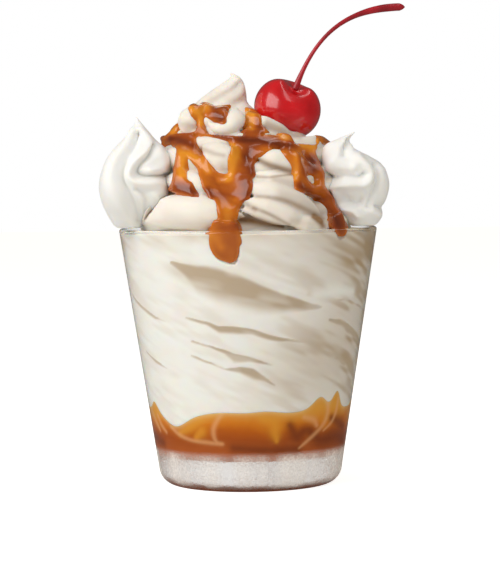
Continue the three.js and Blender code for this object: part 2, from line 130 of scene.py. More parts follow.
class Nodes:
    """A node tree, built up with a few short calls."""

    def __init__(self, tree):
        self.tree = tree

    def link(self, source, target):
        self.tree.links.new(source, target)

    def node(self, kind, settings=None, **inputs):
        made = self.tree.nodes.new("ShaderNode" + kind)
        for key, value in (settings or {}).items():
            setattr(made, key, value)
        for key, value in inputs.items():
            socket = made.inputs[int(key[1:]) if key[1:].isdigit() else key.replace("_", " ")]
            if isinstance(value, bpy.types.NodeSocket):
                self.link(value, socket)
            else:
                socket.default_value = value
        return made

    def math(self, operation, a, b=0.0, c=0.0):
        return self.node("Math", {"operation": operation}, _0=a, _1=b, _2=c).outputs[0]

    def mix(self, factor, a, b):
        made = self.node("Mix", {"data_type": "RGBA"}, _0=factor)
        for index, colour in ((6, a), (7, b)):
            if isinstance(colour, bpy.types.NodeSocket):
                self.link(colour, made.inputs[index])
            else:
                made.inputs[index].default_value = (*colour, 1)
        return made.outputs[2]

    def ray(self, kind):
        return self.node("LightPath").outputs[kind]

    def seen_directly(self):
        """1 where the camera looks straight at it or through clear glass, else 0."""
        turned = self.math("ADD", self.ray("Diffuse Depth"), self.ray("Glossy Depth"))
        straight = self.math("LESS_THAN", turned, 0.5)
        through = self.math("MULTIPLY", self.ray("Is Transmission Ray"), straight)
        return self.math("MAXIMUM", self.ray("Is Camera Ray"), through)


class Finish(Nodes):
    """A material, built up from one shader."""

    def __init__(self, name):
        self.material = bpy.data.materials.new(name)
        self.material.use_nodes = True
        super().__init__(self.material.node_tree)
        self.tree.nodes.clear()
        self.output = self.tree.nodes.new("ShaderNodeOutputMaterial")
        self.shader = self.tree.nodes.new("ShaderNodeBsdfPrincipled")
        self.link(self.shader.outputs[0], self.output.inputs["Surface"])

    def set(self, **values):
        for key, value in values.items():
            self.shader.inputs[key.replace("_", " ")].default_value = value

    def object_place(self):
        return self.node("TexCoord").outputs["Object"]

    def place(self, scale=(1, 1, 1), turn=(0, 0, 0)):
        """Object coordinates, stretched and turned."""
        where = self.object_place()
        return self.node("Mapping", Vector=where, Scale=scale, Rotation=turn).outputs[0]

    def attribute(self, name):
        """A value that the mesh itself carries."""
        return self.node("Attribute", {"attribute_name": name}).outputs["Fac"]

    def height(self):
        """Height over the foot in millimetres."""
        z = self.node("SeparateXYZ", Vector=self.object_place()).outputs["Z"]
        return self.math("MULTIPLY", z, 1000.0)

    def noise(self, scale, where, detail=2.0, roughness=0.5, distortion=0.0):
        return self.node(
            "TexNoise", Vector=where, Scale=scale, Detail=detail,
            Roughness=roughness, Distortion=distortion,
        ).outputs[0]

    def ramp(self, value, stops):
        made = self.node("ValToRGB", Fac=value)
        elements = made.color_ramp.elements
        while len(elements) < len(stops):
            elements.new(0.5)
        for element, (position, colour) in zip(elements, stops):
            element.position = position
            element.color = (*colour, 1) if isinstance(colour, tuple) else (colour,) * 3 + (1,)
        return made.outputs[0]

    def band(self, value, low, high):
        """0 below low, 1 above high, smooth between them."""
        return self.node(
            "MapRange", {"interpolation_type": "SMOOTHSTEP"}, _0=value, _1=low, _2=high
        ).outputs[0]

    def bump(self, height, strength, distance):
        made = self.node("Bump", Height=height, Strength=strength, Distance=distance)
        self.link(made.outputs[0], self.shader.inputs["Normal"])

    def colour(self, socket):
        self.link(socket, self.shader.inputs["Base Color"])

    def rough(self, socket):
        self.link(socket, self.shader.inputs["Roughness"])


def clear_glass():
    finish = Finish("clear_glass")
    finish.set(Base_Color=(0.985, 0.992, 0.99, 1), Transmission_Weight=1.0, IOR=1.5)
    # Dew: fine beads from the heel to just over the floor.
    z = finish.height()
    zone = finish.math("MULTIPLY", finish.band(z, 0.6, 2.6), finish.band(z, 14.2, 11.4))
    beads = finish.ramp(finish.noise(1300, finish.place(), 2.0, 0.6), [(0.4, 0.0), (0.62, 1.0)])
    runs = finish.ramp(finish.noise(95, finish.place((1, 1, 0.1)), 2.0), [(0.36, 0.3), (0.62, 1.0)])
    dew = finish.math("MULTIPLY", zone, runs)
    finish.rough(finish.math("MULTIPLY", dew, 0.2))
    finish.bump(finish.math("MULTIPLY", dew, beads), 0.4, 0.0002)
    beaded = finish.math("MULTIPLY", dew, finish.math("MULTIPLY_ADD", beads, 0.22, 0.5))
    dull = finish.node("BsdfDiffuse", Color=(1.0, 0.975, 0.925, 1))
    surface = finish.node("MixShader", _0=beaded, _1=finish.shader.outputs[0], _2=dull.outputs[0])
    # Lamps and the light of the room reach what is in the glass.
    clear = finish.node("BsdfTransparent", Color=(0.97, 0.975, 0.97, 1))
    let_through = finish.math("MAXIMUM", finish.ray("Is Shadow Ray"), finish.ray("Is Diffuse Ray"))
    mixed = finish.node("MixShader", _0=let_through, _1=surface.outputs[0], _2=clear.outputs[0])
    finish.link(mixed.outputs[0], finish.output.inputs["Surface"])
    return finish.material


tumbler = spun("tumbler", tumbler_profile(), 144)
tumbler.data.materials.append(clear_glass())
bpy.ops.object.shade_smooth()
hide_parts("glass")
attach(tumbler, "root")

# ---- Caramel in the foot of the glass ----------------------------------------------------------
# A thick pour of caramel sauce that stands against the floor and the wall. The soft-serve has pushed it up
# the glass in crests, thin and amber at the top, deep brown at the bottom, with painted shade in places.

INTO_WALL = 0.15  # what fills the glass reaches this far into its wall
POOL_LEVEL = 27.4
POOL_MIDDLE = 24.5
POOL_RADIUS = 35.0  # of the wall, at the pour's height
# Shares of the pour's skin at which its floor, its corner and its wall end.
POOL_FLOOR_SHARE = 0.1
POOL_CORNER_SHARE = 0.18
POOL_WALL_SHARE = 0.7
# azimuth, rise over the level, half width in degrees
POOL_CRESTS = [
    (-70, 2.6, 5), (-48, -5.4, 14), (44, 4.2, 7), (58, 5.4, 5), (90, 1.8, 9), (132, -4.2, 15),
    (168, 4.2, 6), (204, -3.6, 13), (240, 3.8, 7),
]


def apart(a, b):
    """Degrees from azimuth b to azimuth a, from -180 to 180."""
    return (a - b + 180.0) % 360.0 - 180.0


def smoothstep(value, low, high):
    """0 at low, 1 at high, smooth between them; high may be the lower number."""
    t = np.clip((value - low) / (high - low), 0.0, 1.0)
    return t * t * (3.0 - 2.0 * t)


def pool_top(azimuth, share):
    """Height of the pour's top, at a share of the way from the middle to the wall."""
    crest = np.full_like(azimuth, POOL_LEVEL)
    for middle, rise, width in POOL_CRESTS:
        crest += rise * np.exp(-((apart(azimuth, middle) / width) ** 2))
    crest += 0.35 * np.sin(np.radians(azimuth * 11)) * np.sin(np.radians(azimuth * 3 + 40))
    return POOL_MIDDLE + (crest - POOL_MIDDLE) * share**3


def around(azimuth, radius, z):
    """Points at azimuths, radii and heights, in millimetres, as rows of x, y, z."""
    turn = np.radians(azimuth)
    parts = np.broadcast_arrays(radius * np.sin(turn), -radius * np.cos(turn), z)
    return np.stack(parts, axis=-1).astype(float)


def points_of(piece):
    flat = np.empty(len(piece.data.vertices) * 3)
    piece.data.vertices.foreach_get("co", flat)
    return flat.reshape(-1, 3) / MM


def move_points(piece, points):
    piece.data.vertices.foreach_set("co", (points * MM).ravel())
    piece.data.update()


def skin(name, columns, rows, place):
    """A closed skin: a grid rolled round the axis, its points put where place says."""
    bpy.ops.object.select_all(action="DESELECT")
    bpy.ops.mesh.primitive_grid_add(x_subdivisions=columns, y_subdivisions=rows, size=2 * MM)
    piece = named(bpy.context.object, name)
    flat = points_of(piece)
    move_points(piece, place(flat[:, 0] * 180.0, (flat[:, 1] + 1.0) / 2.0))
    bpy.ops.object.mode_set(mode="EDIT")
    welded()
    bpy.ops.object.shade_smooth()
    return piece


def pool_point(azimuth, share):
    bottom = FLOOR - 0.1
    corner = FLOOR_CORNER
    crest = pool_top(azimuth, np.ones_like(azimuth))
    flat = inner_wall(bottom + corner) + INTO_WALL - corner
    turned = (share - POOL_FLOOR_SHARE) / (POOL_CORNER_SHARE - POOL_FLOOR_SHARE)
    floor_turn = np.clip(turned, 0, 1) * math.pi / 2
    on_floor = share < POOL_FLOOR_SHARE
    floor = around(
        azimuth,
        np.where(on_floor, flat * share / POOL_FLOOR_SHARE, flat + corner * np.sin(floor_turn)),
        bottom + corner * (1 - np.cos(floor_turn)),
    )
    rise = np.clip((share - POOL_CORNER_SHARE) / (POOL_WALL_SHARE - POOL_CORNER_SHARE), 0, 1)
    z = bottom + corner + (crest - bottom - corner) * rise
    side = around(azimuth, inner_wall(z) + INTO_WALL, z)
    inward = np.clip((1 - share) / (1 - POOL_WALL_SHARE), 0, 1)
    top = around(azimuth, (inner_wall(crest) + INTO_WALL) * inward, pool_top(azimuth, inward))
    low = (share < POOL_CORNER_SHARE)[:, None]
    middle = (share < POOL_WALL_SHARE)[:, None]
    return np.where(low, floor, np.where(middle, side, top))


# What shows in the pour, each as azimuth, height and half width: pale folds of cream drawn through it,
# clear amber places, and dark places of painted shade where it lies thickest.
POOL_FOLDS = [
    [(-15.5, 27.6, 0.8), (-19.5, 24.6, 0.9), (-22, 21.8, 1), (-22, 19.2, 0.9), (-20.4, 17.3, 0.8),
     (-17, 16.8, 0.7)],
    [(-18, 16.8, 0.7), (-27, 17.2, 0.8), (-38, 17.7, 0.7), (-47, 19.2, 0.8), (-54, 21.6, 0.7)],
    [(50, 30, 1.1), (51, 26, 1.1), (48.6, 22.4, 0.9), (42, 19.2, 0.8), (36, 16.8, 0.7), (31, 14.8, 0.4)],
    [(60, 30.6, 0.8), (59.6, 26.6, 0.9), (56.4, 22.8, 0.7), (49, 20, 0.4)],
    [(33, 25.2, 0.9), (40, 24, 1.2), (43, 22, 0.8)],
    [(-68, 25, 0.8), (-65, 22, 0.9), (-60, 19.6, 0.7)],
    [(-78, 26, 1.1), (-72, 22.4, 1.2), (-68, 19.8, 0.7)],
    [(150, 29, 0.9), (146, 25, 0.9), (138, 21, 0.8), (126, 18.4, 0.5)],
    [(212, 26, 0.9), (206, 22.4, 1.1), (208, 18.6, 0.7), (216, 17.2, 0.5)],
    [(250, 29, 0.8), (246, 25, 0.9), (236, 21, 0.7)],
]
POOL_AMBER = [
    [(8, 25.6, 2.2), (14, 24, 2.8), (15, 20.4, 2.2), (16, 17.6, 0.9)],
    [(-30, 24.6, 1.6), (-38, 22.2, 1.9), (-46, 20, 1.2)],
    [(-30, 20.8, 2), (-34, 18.8, 1.2)],
    [(82, 25, 2.6), (88, 21, 2)],
    [(170, 27, 2.6), (180, 23, 2.4)],
    [(228, 23, 2.4), (236, 19, 1.8)],
]
POOL_DARK = [
    [(24, 22.6, 1.6), (29, 19, 2.6), (36, 20.6, 2.2), (48, 17, 3), (62, 17.6, 3.4), (76, 16, 3)],
    [(55, 24, 1.4), (64, 22, 2.6), (72, 20, 2.4)],
    [(-10, 15.4, 1.8), (10, 14.6, 1.6), (30, 14.6, 2)],
    [(-80, 17, 2.4), (-66, 15.6, 2)],
    [(110, 20, 3), (124, 16.4, 2.6)],
    [(196, 18, 2.8), (184, 15.4, 2)],
]


def blended(rows, t):
    """Smooth values between the rows of a table, at shares t of the way through it."""
    rows = np.asarray(rows, float)
    last = len(rows) - 1
    padded = np.vstack([2 * rows[0] - rows[1], rows, 2 * rows[-1] - rows[-2]])
    at = np.clip(np.asarray(t, float) * last, 0, last - 1e-9)
    i = at.astype(int)
    f = (at - i)[..., None]
    a, b, c, d = padded[i], padded[i + 1], padded[i + 2], padded[i + 3]
    return b + 0.5 * f * (c - a + f * (2 * a - 5 * b + 4 * c - d + f * (3 * (b - c) + d - a)))


def drawn(azimuth, z, lines, radius=POOL_RADIUS):
    """How near places on the wall are to lines of azimuth, height and half width, 0 to 1."""
    near = np.zeros_like(azimuth)
    for rows in lines:
        for turn, height, half in blended(rows, np.linspace(0, 1, 14 * (len(rows) - 1))):
            away = (np.radians(apart(azimuth, turn)) * radius) ** 2 + (z - height) ** 2
            near = np.maximum(near, np.exp(-away / max(half, 0.1) ** 2))
    return near


def note(piece, name, values):
    """Values at a piece's points, kept for its colours."""
    layer = piece.data.attributes.new(name, "FLOAT", "POINT")
    layer.data.foreach_set("value", np.clip(values, 0, 1).astype(float))


def wall_places(piece):
    """Azimuth and height of a piece's points."""
    x, y, z = points_of(piece).T
    return np.degrees(np.arctan2(x, -y)), z


def pool_caramel():
    finish = Finish("pool_caramel")
    finish.set(
        Subsurface_Weight=0.25, Subsurface_Radius=(1.0, 0.4, 0.1), Subsurface_Scale=0.002,
        Roughness=0.5, IOR=1.45, Specular_IOR_Level=0.0,
    )
    z = finish.height()
    drift = finish.noise(70, finish.place((1, 1, 1.4)), 3.0, 0.55, 0.5)
    level = finish.math("ADD", z, finish.math("MULTIPLY_ADD", drift, 7.0, -3.5))
    body = finish.ramp(finish.band(level, 29.0, 13.0), [
        (0.0, (0.76, 0.34, 0.045)),
        (0.28, (0.66, 0.2, 0.012)),
        (0.55, (0.5, 0.115, 0.007)),
        (0.78, (0.38, 0.08, 0.01)),
        (1.0, (0.42, 0.1, 0.02)),
    ])
    amber = finish.math("MULTIPLY", finish.attribute("amber"), 0.75)
    glowing = finish.mix(amber, body, (0.74, 0.32, 0.03))
    # Painted shade: the dark places darken it.
    dark = finish.math("MULTIPLY", finish.attribute("dark"), 0.8)
    shaded = finish.mix(dark, glowing, (0.2, 0.042, 0.01))
    fold = finish.math("MULTIPLY", finish.attribute("fold"), 0.6)
    folded = finish.mix(fold, shaded, (0.8, 0.42, 0.18))
    finish.colour(finish.mix(finish.attribute("thin"), folded, (0.86, 0.62, 0.3)))
    return finish.material


pool = skin("caramel_pour", 440, 96, pool_point)
pool_azimuth, pool_height = wall_places(pool)
note(pool, "fold", drawn(pool_azimuth, pool_height, POOL_FOLDS))
note(pool, "amber", drawn(pool_azimuth, pool_height, POOL_AMBER))
note(pool, "dark", drawn(pool_azimuth, pool_height, POOL_DARK))
under_crest = pool_top(pool_azimuth, np.ones_like(pool_azimuth)) - pool_height
note(pool, "thin", 0.75 * np.exp(-np.clip(under_crest, 0, 99) / 0.7))
pool.data.materials.append(pool_caramel())
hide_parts("caramel_pool")
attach(pool, "root")

# ---- Soft-serve packed into the glass ----------------------------------------------------------
# Vanilla soft-serve, run into the glass in turns. Pressed to the wall it lies flat and pale; where
# two turns don't quite meet, an open fold stands off the glass, blunt on the left and running out.
# Its folds stand only a little off the glass; their shade is painted into its colour.

FILL_TOP = 86.3
# Shares of the fill's skin at which its underside ends and its top begins.
FILL_UNDER_SHARE = 0.06
FILL_TOP_SHARE = 0.96
FOLD_RECESS = 0.028  # how far a fold stands off the glass, as a share of its depth
DROP_RADIUS = 42.0  # of the wall, at the drops' height
RIDGE_RADIUS = 41.0  # and at the ridges' height
# Each open fold: depth, then azimuth, upper edge and lower edge from its left to its right end.
FOLDS = [
    (5.2, [(-38, 77.6, 76.2), (-31, 77.2, 72), (-25, 76.8, 67.2), (-15, 76.2, 63.6), (-5, 74.2, 61.8),
     (5, 70.6, 60.6), (17, 67, 59.8), (29, 64.2, 60.4), (38, 62, 61.2)]),
    (5.0, [(-33, 59.4, 58.7), (-22, 57.8, 56.4), (-15, 56.5, 53.4), (-8, 56.6, 53.3), (2, 55.2, 53.1),
     (10, 53.5, 51.3), (20, 52, 50.2), (30, 50.6, 49.8)]),
    (4.4, [(-31, 51.6, 51), (-21, 49.8, 48.7), (-13, 48.7, 46.6), (-8, 47.6, 43.8), (0, 46.1, 44.2),
     (12, 43.4, 43)]),
    (4.8, [(-32, 46.8, 46.2), (-21, 44.2, 43.2), (-13, 42.3, 41.4), (-5, 43, 40.4), (2, 42.3, 38),
     (8, 39.6, 37.5), (14, 36.6, 36)]),
    (3.4, [(48, 64.4, 63.8), (58, 63.6, 62.6), (69, 61.8, 60.4), (85, 58.6, 58)]),
    (4.6, [(44, 58, 57), (52, 57.4, 54.8), (61, 55.6, 51.5), (72, 52.6, 48), (84, 49.4, 46.8),
     (95, 46.4, 45.9)]),
    (3.4, [(44, 47.2, 46.2), (52, 45.4, 43.3), (60, 43, 41.4), (72, 40.2, 39.8)]),
    (2.2, [(-78, 66, 65.4), (-66, 62.5, 61), (-54, 59, 57.8), (-46, 57.4, 57)]),
    (2.0, [(-70, 47, 46.4), (-60, 44.2, 43), (-50, 41.6, 41.1)]),
]
# The two runs of drizzle that end against the glass: azimuth, height, half width.
DROPS = [
    [(-9.8, 90.6, 4), (-10.3, 87.6, 5.2), (-10.2, 84, 5.9), (-9.6, 81.4, 5.3), (-8, 79.2, 3.3),
     (-6.8, 77.4, 1.2)],
    [(44, 92.4, 1.9), (45, 90, 2.8), (45.8, 87.8, 3.2), (46.2, 86.2, 2.8), (46.2, 84.9, 1.3)],
]
# Painted shade, where it is greyer: azimuth, height, half widths, strength.
PAINTED_SHADE_PATCHES = [
    (62, 78, 26, 8, 0.36), (26, 83, 20, 5, 0.28), (0, 86, 34, 2.6, 0.25), (-38, 84.5, 14, 3, 0.2),
    (86, 64, 12, 20, 0.2), (60, 50, 24, 14, 0.25), (30, 42, 22, 9, 0.4), (-84, 82, 9, 7, 0.4),
    (-40, 75, 12, 2.4, 0.5), (-24, 73.4, 12, 2.2, 0.5), (150, 78, 30, 8, 0.45), (210, 74, 24, 9, 0.5),
]
# Plump turns that press hard on the glass, where the painted shade is taken off: azimuth, height, half
# width.
BRIGHT_RIDGES = [
    [(-23, 81.6, 1.5), (-7, 75.9, 1.7), (2, 73.4, 1.6), (12, 70.8, 1.4), (28, 66.8, 0.9)],
    [(-58, 76, 4), (-46, 73.4, 5), (-40, 69, 4)],
    [(34, 66, 2.4), (48, 66.6, 2.6), (60, 66.4, 2)],
]
BACK_FOLDS = 13
BACK_FROM = 98  # azimuths between which they lie
BACK_TO = 262


class Draws:
    """Random numbers from 0 to 1, the same in every run."""

    def __init__(self, seed):
        self.state = seed

    def next(self):
        self.state = (self.state * 1664525 + 1013904223) % 2**32
        return self.state / 2**32


def back_folds():
    """Open folds at the sides and behind, spread evenly and varied at random."""
    draws = Draws(7)
    folds = []
    for i in range(BACK_FOLDS):
        azimuth = BACK_FROM + (BACK_TO - BACK_FROM) * (i + draws.next()) / BACK_FOLDS
        height = 38 + 42 * (i * 5 % BACK_FOLDS) / BACK_FOLDS + 3 * draws.next()
        half_length = 12 + 12 * draws.next()
        drop = 2 + 2 * draws.next()
        half_width = 1.5 + 2 * draws.next()
        depth = 2.6 + 2 * draws.next()
        rows = []
        for along, opening in ((-1, 0.1), (-0.7, 0.9), (-0.35, 1.1), (0.1, 0.85), (0.6, 0.4), (1, 0.05)):
            middle = height - drop * along
            upper = middle + (0.5 + 0.2 * along) * half_width * opening
            rows.append((azimuth + half_length * along, upper, upper - 1.7 * half_width * opening))
        folds.append((depth, rows))
    return folds


ALL_FOLDS = FOLDS + back_folds()


def cloud(azimuth, z, turn, rise, falls, seed):
    """An even random pattern over the wall, 0 to 1, its streaks falling to the right."""
    draws = np.random.default_rng(seed)
    columns = round(360 / turn)
    rows = max(falls, 8)  # so that the pattern meets itself all round
    grid = draws.random((rows, columns))
    across = (azimuth % 360) / 360 * columns
    up = z / rise + (azimuth % 360) / 360 * falls
    i, j = np.floor(up).astype(int), np.floor(across).astype(int)
    f, g = up - i, across - j
    f, g = f * f * (3 - 2 * f), g * g * (3 - 2 * g)
    corners = [grid[(i + a) % rows, (j + b) % columns] for a in (0, 1) for b in (0, 1)]
    low = corners[0] * (1 - g) + corners[1] * g
    high = corners[2] * (1 - g) + corners[3] * g
    return low * (1 - f) + high * f


def streaks(azimuth, z, seed):
    """Broad streaks with fine ones in them, 0 to 1."""
    fine = cloud(azimuth, z, 9, 1.5, 60, seed + 1)
    return 0.6 * cloud(azimuth, z, 24, 4.2, 22, seed) + 0.4 * fine


def fold_opening(azimuth, z, rows):
    """1 from a fold's upper edge down to near its lower edge, 0 outside it."""
    table = np.array(rows, float)
    centre = (table[0, 0] + table[-1, 0]) / 2
    turn = apart(azimuth, centre) + centre
    upper = np.interp(turn, table[:, 0], table[:, 1])
    lower = np.interp(turn, table[:, 0], table[:, 2])
    upper = upper + 0.4 * (cloud(azimuth, z * 0, 4.0, 1.0, 0, 5) - 0.5)
    lower = lower + 0.7 * (cloud(azimuth, z * 0, 5.0, 1.0, 0, 6) - 0.5)
    down = (upper - z) / np.maximum(upper - lower, 0.3)
    opening = smoothstep(down, -0.04, 0.16) * (1 - smoothstep(down, 0.55, 1.15))
    inside = (turn > table[0, 0]) & (turn < table[-1, 0])
    return np.where(inside, opening * np.clip((upper - lower) / 1.2, 0, 1) ** 0.5, 0)


def recess(azimuth, z):
    """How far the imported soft-serve stands off the glass: in its folds and behind the drops."""
    depth = smoothstep(drawn(azimuth, z, DROPS, DROP_RADIUS), 0.5, 0.62)
    for full, rows in ALL_FOLDS:
        depth = np.maximum(depth, FOLD_RECESS * full * fold_opening(azimuth, z, rows))
    return depth


def shade(azimuth, z):
    """Painted shade, where the soft-serve is deeper in colour: in its folds, in greyer patches and streaks
    and down its right side, and less on its plump turns.
    """
    streak = streaks(azimuth, z, 3)
    # Painted shade down its right side, fading out behind.
    right = smoothstep(apart(azimuth, 0), 0, 70) * smoothstep(apart(azimuth, 0), 180, 110)
    uneven = 0.3 + 0.6 * right + 0.1 * smoothstep(z, 40, 80)
    tone = 0.27 * right + 0.46 * smoothstep(streak, 0.42, 0.78) * uneven
    for middle, height, half_turn, half_height, full in PAINTED_SHADE_PATCHES:
        away = (apart(azimuth, middle) / half_turn) ** 2 + ((z - height) / half_height) ** 2
        tone = tone + full * np.exp(-away) * (0.6 + 0.8 * (streak - 0.3))
    inner = np.minimum(1, 0.62 + 0.7 * cloud(azimuth, z, 8, 1.8, 30, 11))
    for full, rows in ALL_FOLDS:
        tone = np.maximum(tone, (0.6 + 0.045 * full) * fold_opening(azimuth, z, rows) * inner)
    return tone * (1 - 0.85 * drawn(azimuth, z, BRIGHT_RIDGES, RIDGE_RADIUS))


def fill_point(azimuth, share):
    """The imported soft-serve's skin, from under its middle up the wall and in over its top."""
    crest = pool_top(azimuth, np.ones_like(azimuth)) - 0.1
    low_share = np.clip(share / FILL_UNDER_SHARE, 0, 1)
    edge = inner_wall(crest) + INTO_WALL
    bottom = around(azimuth, edge * low_share, pool_top(azimuth, low_share) - 0.1)
    rise = np.clip((share - FILL_UNDER_SHARE) / (FILL_TOP_SHARE - FILL_UNDER_SHARE), 0, 1)
    z = crest + (FILL_TOP - crest) * rise
    side = around(azimuth, inner_wall(z) + INTO_WALL - recess(azimuth, z), z)
    inward = np.clip((1 - share) / (1 - FILL_TOP_SHARE), 0, 1)
    top_edge = inner_wall(FILL_TOP) + INTO_WALL - recess(azimuth, np.full_like(azimuth, FILL_TOP))
    top = around(azimuth, top_edge * inward, FILL_TOP + 1.2 * (1 - inward) ** 0.5)
    under = (share < FILL_UNDER_SHARE)[:, None]
    beside = (share < FILL_TOP_SHARE)[:, None]
    return np.where(under, bottom, np.where(beside, side, top))


def ice_cream(name, light, dark, deep, gloss):
    """Soft-serve, light and dark in turn, with painted shade mixed in as a deeper colour where the mesh
    says.
    """
    finish = Finish(name)
    finish.set(
        Subsurface_Weight=1.0, Subsurface_Radius=(1.0, 0.75, 0.5), Subsurface_Scale=0.0008,
        IOR=1.38, Specular_IOR_Level=gloss,
    )
    where = finish.place()
    mottle = finish.noise(55, finish.place((1, 1, 2.4), (0.0, 0.3, 0.0)), 3.0, 0.5, 0.4)
    cream = finish.ramp(mottle, [(0.3, dark), (0.7, light)])
    # Painted shade: the deeper colour, by the value each point carries.
    finish.colour(finish.mix(finish.attribute("painted_shade"), cream, deep))
    finish.rough(finish.ramp(finish.noise(420, where, 2.0), [(0.3, 0.42), (0.7, 0.58)]))
    finish.bump(finish.noise(700, where, 3.0, 0.55), 0.12, 0.0002)
    return finish.material


packed = skin("packed_soft_serve", 400, 200, fill_point)
# Painted shade in its folds, patches and streaks and down its right side.
note(packed, "painted_shade", shade(*wall_places(packed)))
# Painted light: this soft-serve is given a paler colour than the same soft-serve over the rim.
packed.data.materials.append(ice_cream(
    "soft_serve_behind_glass", (0.955, 0.94, 0.9), (0.91, 0.885, 0.835), (0.5, 0.375, 0.24), 0.0
))
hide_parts("soft_serve")
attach(packed, "root")

# ---- Soft-serve coiled over the rim ------------------------------------------------------------
# The same soft-serve, drawn from a star nozzle in a rope that is coiled clockwise as it rises and
# is pulled off in a curled peak. The rope's six ridges wind round it.

# azimuth, radius of the coil, height, radius of the rope
ROPE = [
    (1170, 31, 87.6, 7.4), (1080, 33, 91.2, 7.8), (900, 31.5, 96.6, 7.6), (720, 28.3, 102.3, 7.6),
    (540, 25.6, 107.4, 7.4), (360, 21.8, 112.8, 7.3), (180, 18, 115.4, 7), (85, 16.8, 114.6, 6.4),
    (42, 15.4, 116.8, 6.6), (0, 14.2, 120.2, 6.9), (-90, 12.4, 121.6, 6.9), (-160, 8.6, 123.2, 6.9),
    (-230, 4, 124.6, 6.6),
]
# The top that is drawn up into a curled peak: height, left and right edge.
PEAK = [
    (116, -19, 7), (119, -20.5, 8.5), (122, -20.4, 8.6), (124.5, -19.8, 6.5), (126.5, -19.2, 4),
    (128.3, -18.6, 1.8), (129.5, -17.4, 0.6), (130.3, -16.4, 0), (131.3, -15.3, -0.1),
    (132.6, -13.6, -0.25), (134.2, -11.5, -0.5), (135.7, -9.3, -0.8), (137.1, -7.2, -1.2),
    (138.1, -5.8, -1.9), (138.8, -5.2, -2.6), (139.3, -5.3, -3.4), (139.8, -5.8, -4.1),
    (140.15, -6.4, -5.1), (140.35, -6.7, -6),
]
# Its creases and crests: rise, then sideways place, height and half width along it.
PEAK_RELIEF = [
    (0.9, [(-3.1, 137.7, 0.9), (-5.1, 135.8, 1.2), (-7.7, 134.2, 1.4), (-10.2, 132.7, 1.5),
     (-12.8, 131.3, 1.5), (-14.5, 130, 1.5)]),
    (-0.8, [(-2.9, 136, 0.7), (-4.2, 134.2, 1), (-6.2, 132.8, 1.1), (-8.6, 131.5, 1.2), (-11, 130.1, 1.2),
     (-12.6, 129, 1)]),
    (0.8, [(-1.6, 135.4, 0.8), (-2.6, 133, 1.2), (-5, 131, 1.4), (-8, 129.6, 1.4)]),
    (-0.7, [(-0.6, 132, 0.8), (-1.8, 130.6, 1), (-3.6, 129.4, 1)]),
]
# Painted shade, deeper in colour between the folds and down the right of the peak: strength, then places
# as they are seen.
SHADOWS = [
    (0.75, [(2.8, 111, 0.8), (5, 109.6, 1), (8, 108.4, 1.2), (11.5, 107.2, 1.2), (15, 106.2, 1.2)]),
    (0.5, [(3.4, 104.6, 0.5), (7, 104.4, 0.5), (11, 104.8, 0.4), (15, 105.2, 0.4)]),
    (0.28, [(9, 103.6, 1.2), (13, 102.8, 1.6), (16.5, 101.6, 1.6)]),
    (0.26, [(12, 98.4, 2), (17, 96.6, 2.8), (22, 94.6, 2.8), (25.5, 93, 2.4)]),
    (0.55, [(3, 97.9, 0.6), (8, 97.4, 0.8), (13, 96.2, 1), (18, 94, 1.1), (23, 91.4, 1.2),
     (25, 89.8, 1.2)]),
    (0.4, [(-1, 96, 0.9), (0.6, 94.4, 1), (2.4, 93.2, 0.9)]),
    (0.55, [(2, 94, 0.6), (6, 92.4, 0.7), (10, 90.4, 0.7), (14, 88, 0.7)]),
    (1.0, [(-2.6, 90, 1.8), (1, 89.6, 1.7), (5, 88.8, 1.4), (9, 88, 1), (12, 87.4, 0.6)]),
    (0.9, [(22.5, 90.6, 0.9), (24.4, 89.2, 1.2), (25.6, 87.6, 1.2)]),
    (0.2, [(15, 89.4, 1.2), (19, 89, 1.6), (22, 88, 1.4)]),
    (0.1, [(-27, 92, 2.5), (-20, 89.6, 2.4), (-14, 88.6, 2)]),
    (0.4, [(-17, 114.6, 0.7), (-14, 113.8, 0.9), (-11, 112.6, 0.9), (-8, 112, 0.8)]),
    (0.2, [(-9, 109, 1.4), (-7.5, 107, 1.4)]),
    (0.45, [(7, 122.4, 1.6), (10, 121, 1.6), (14, 119.4, 1.4), (18, 118, 1.2)]),
    (0.16, [(-2.5, 136, 1.4), (-3.5, 133, 2), (-5, 130.5, 2.4)]),
]
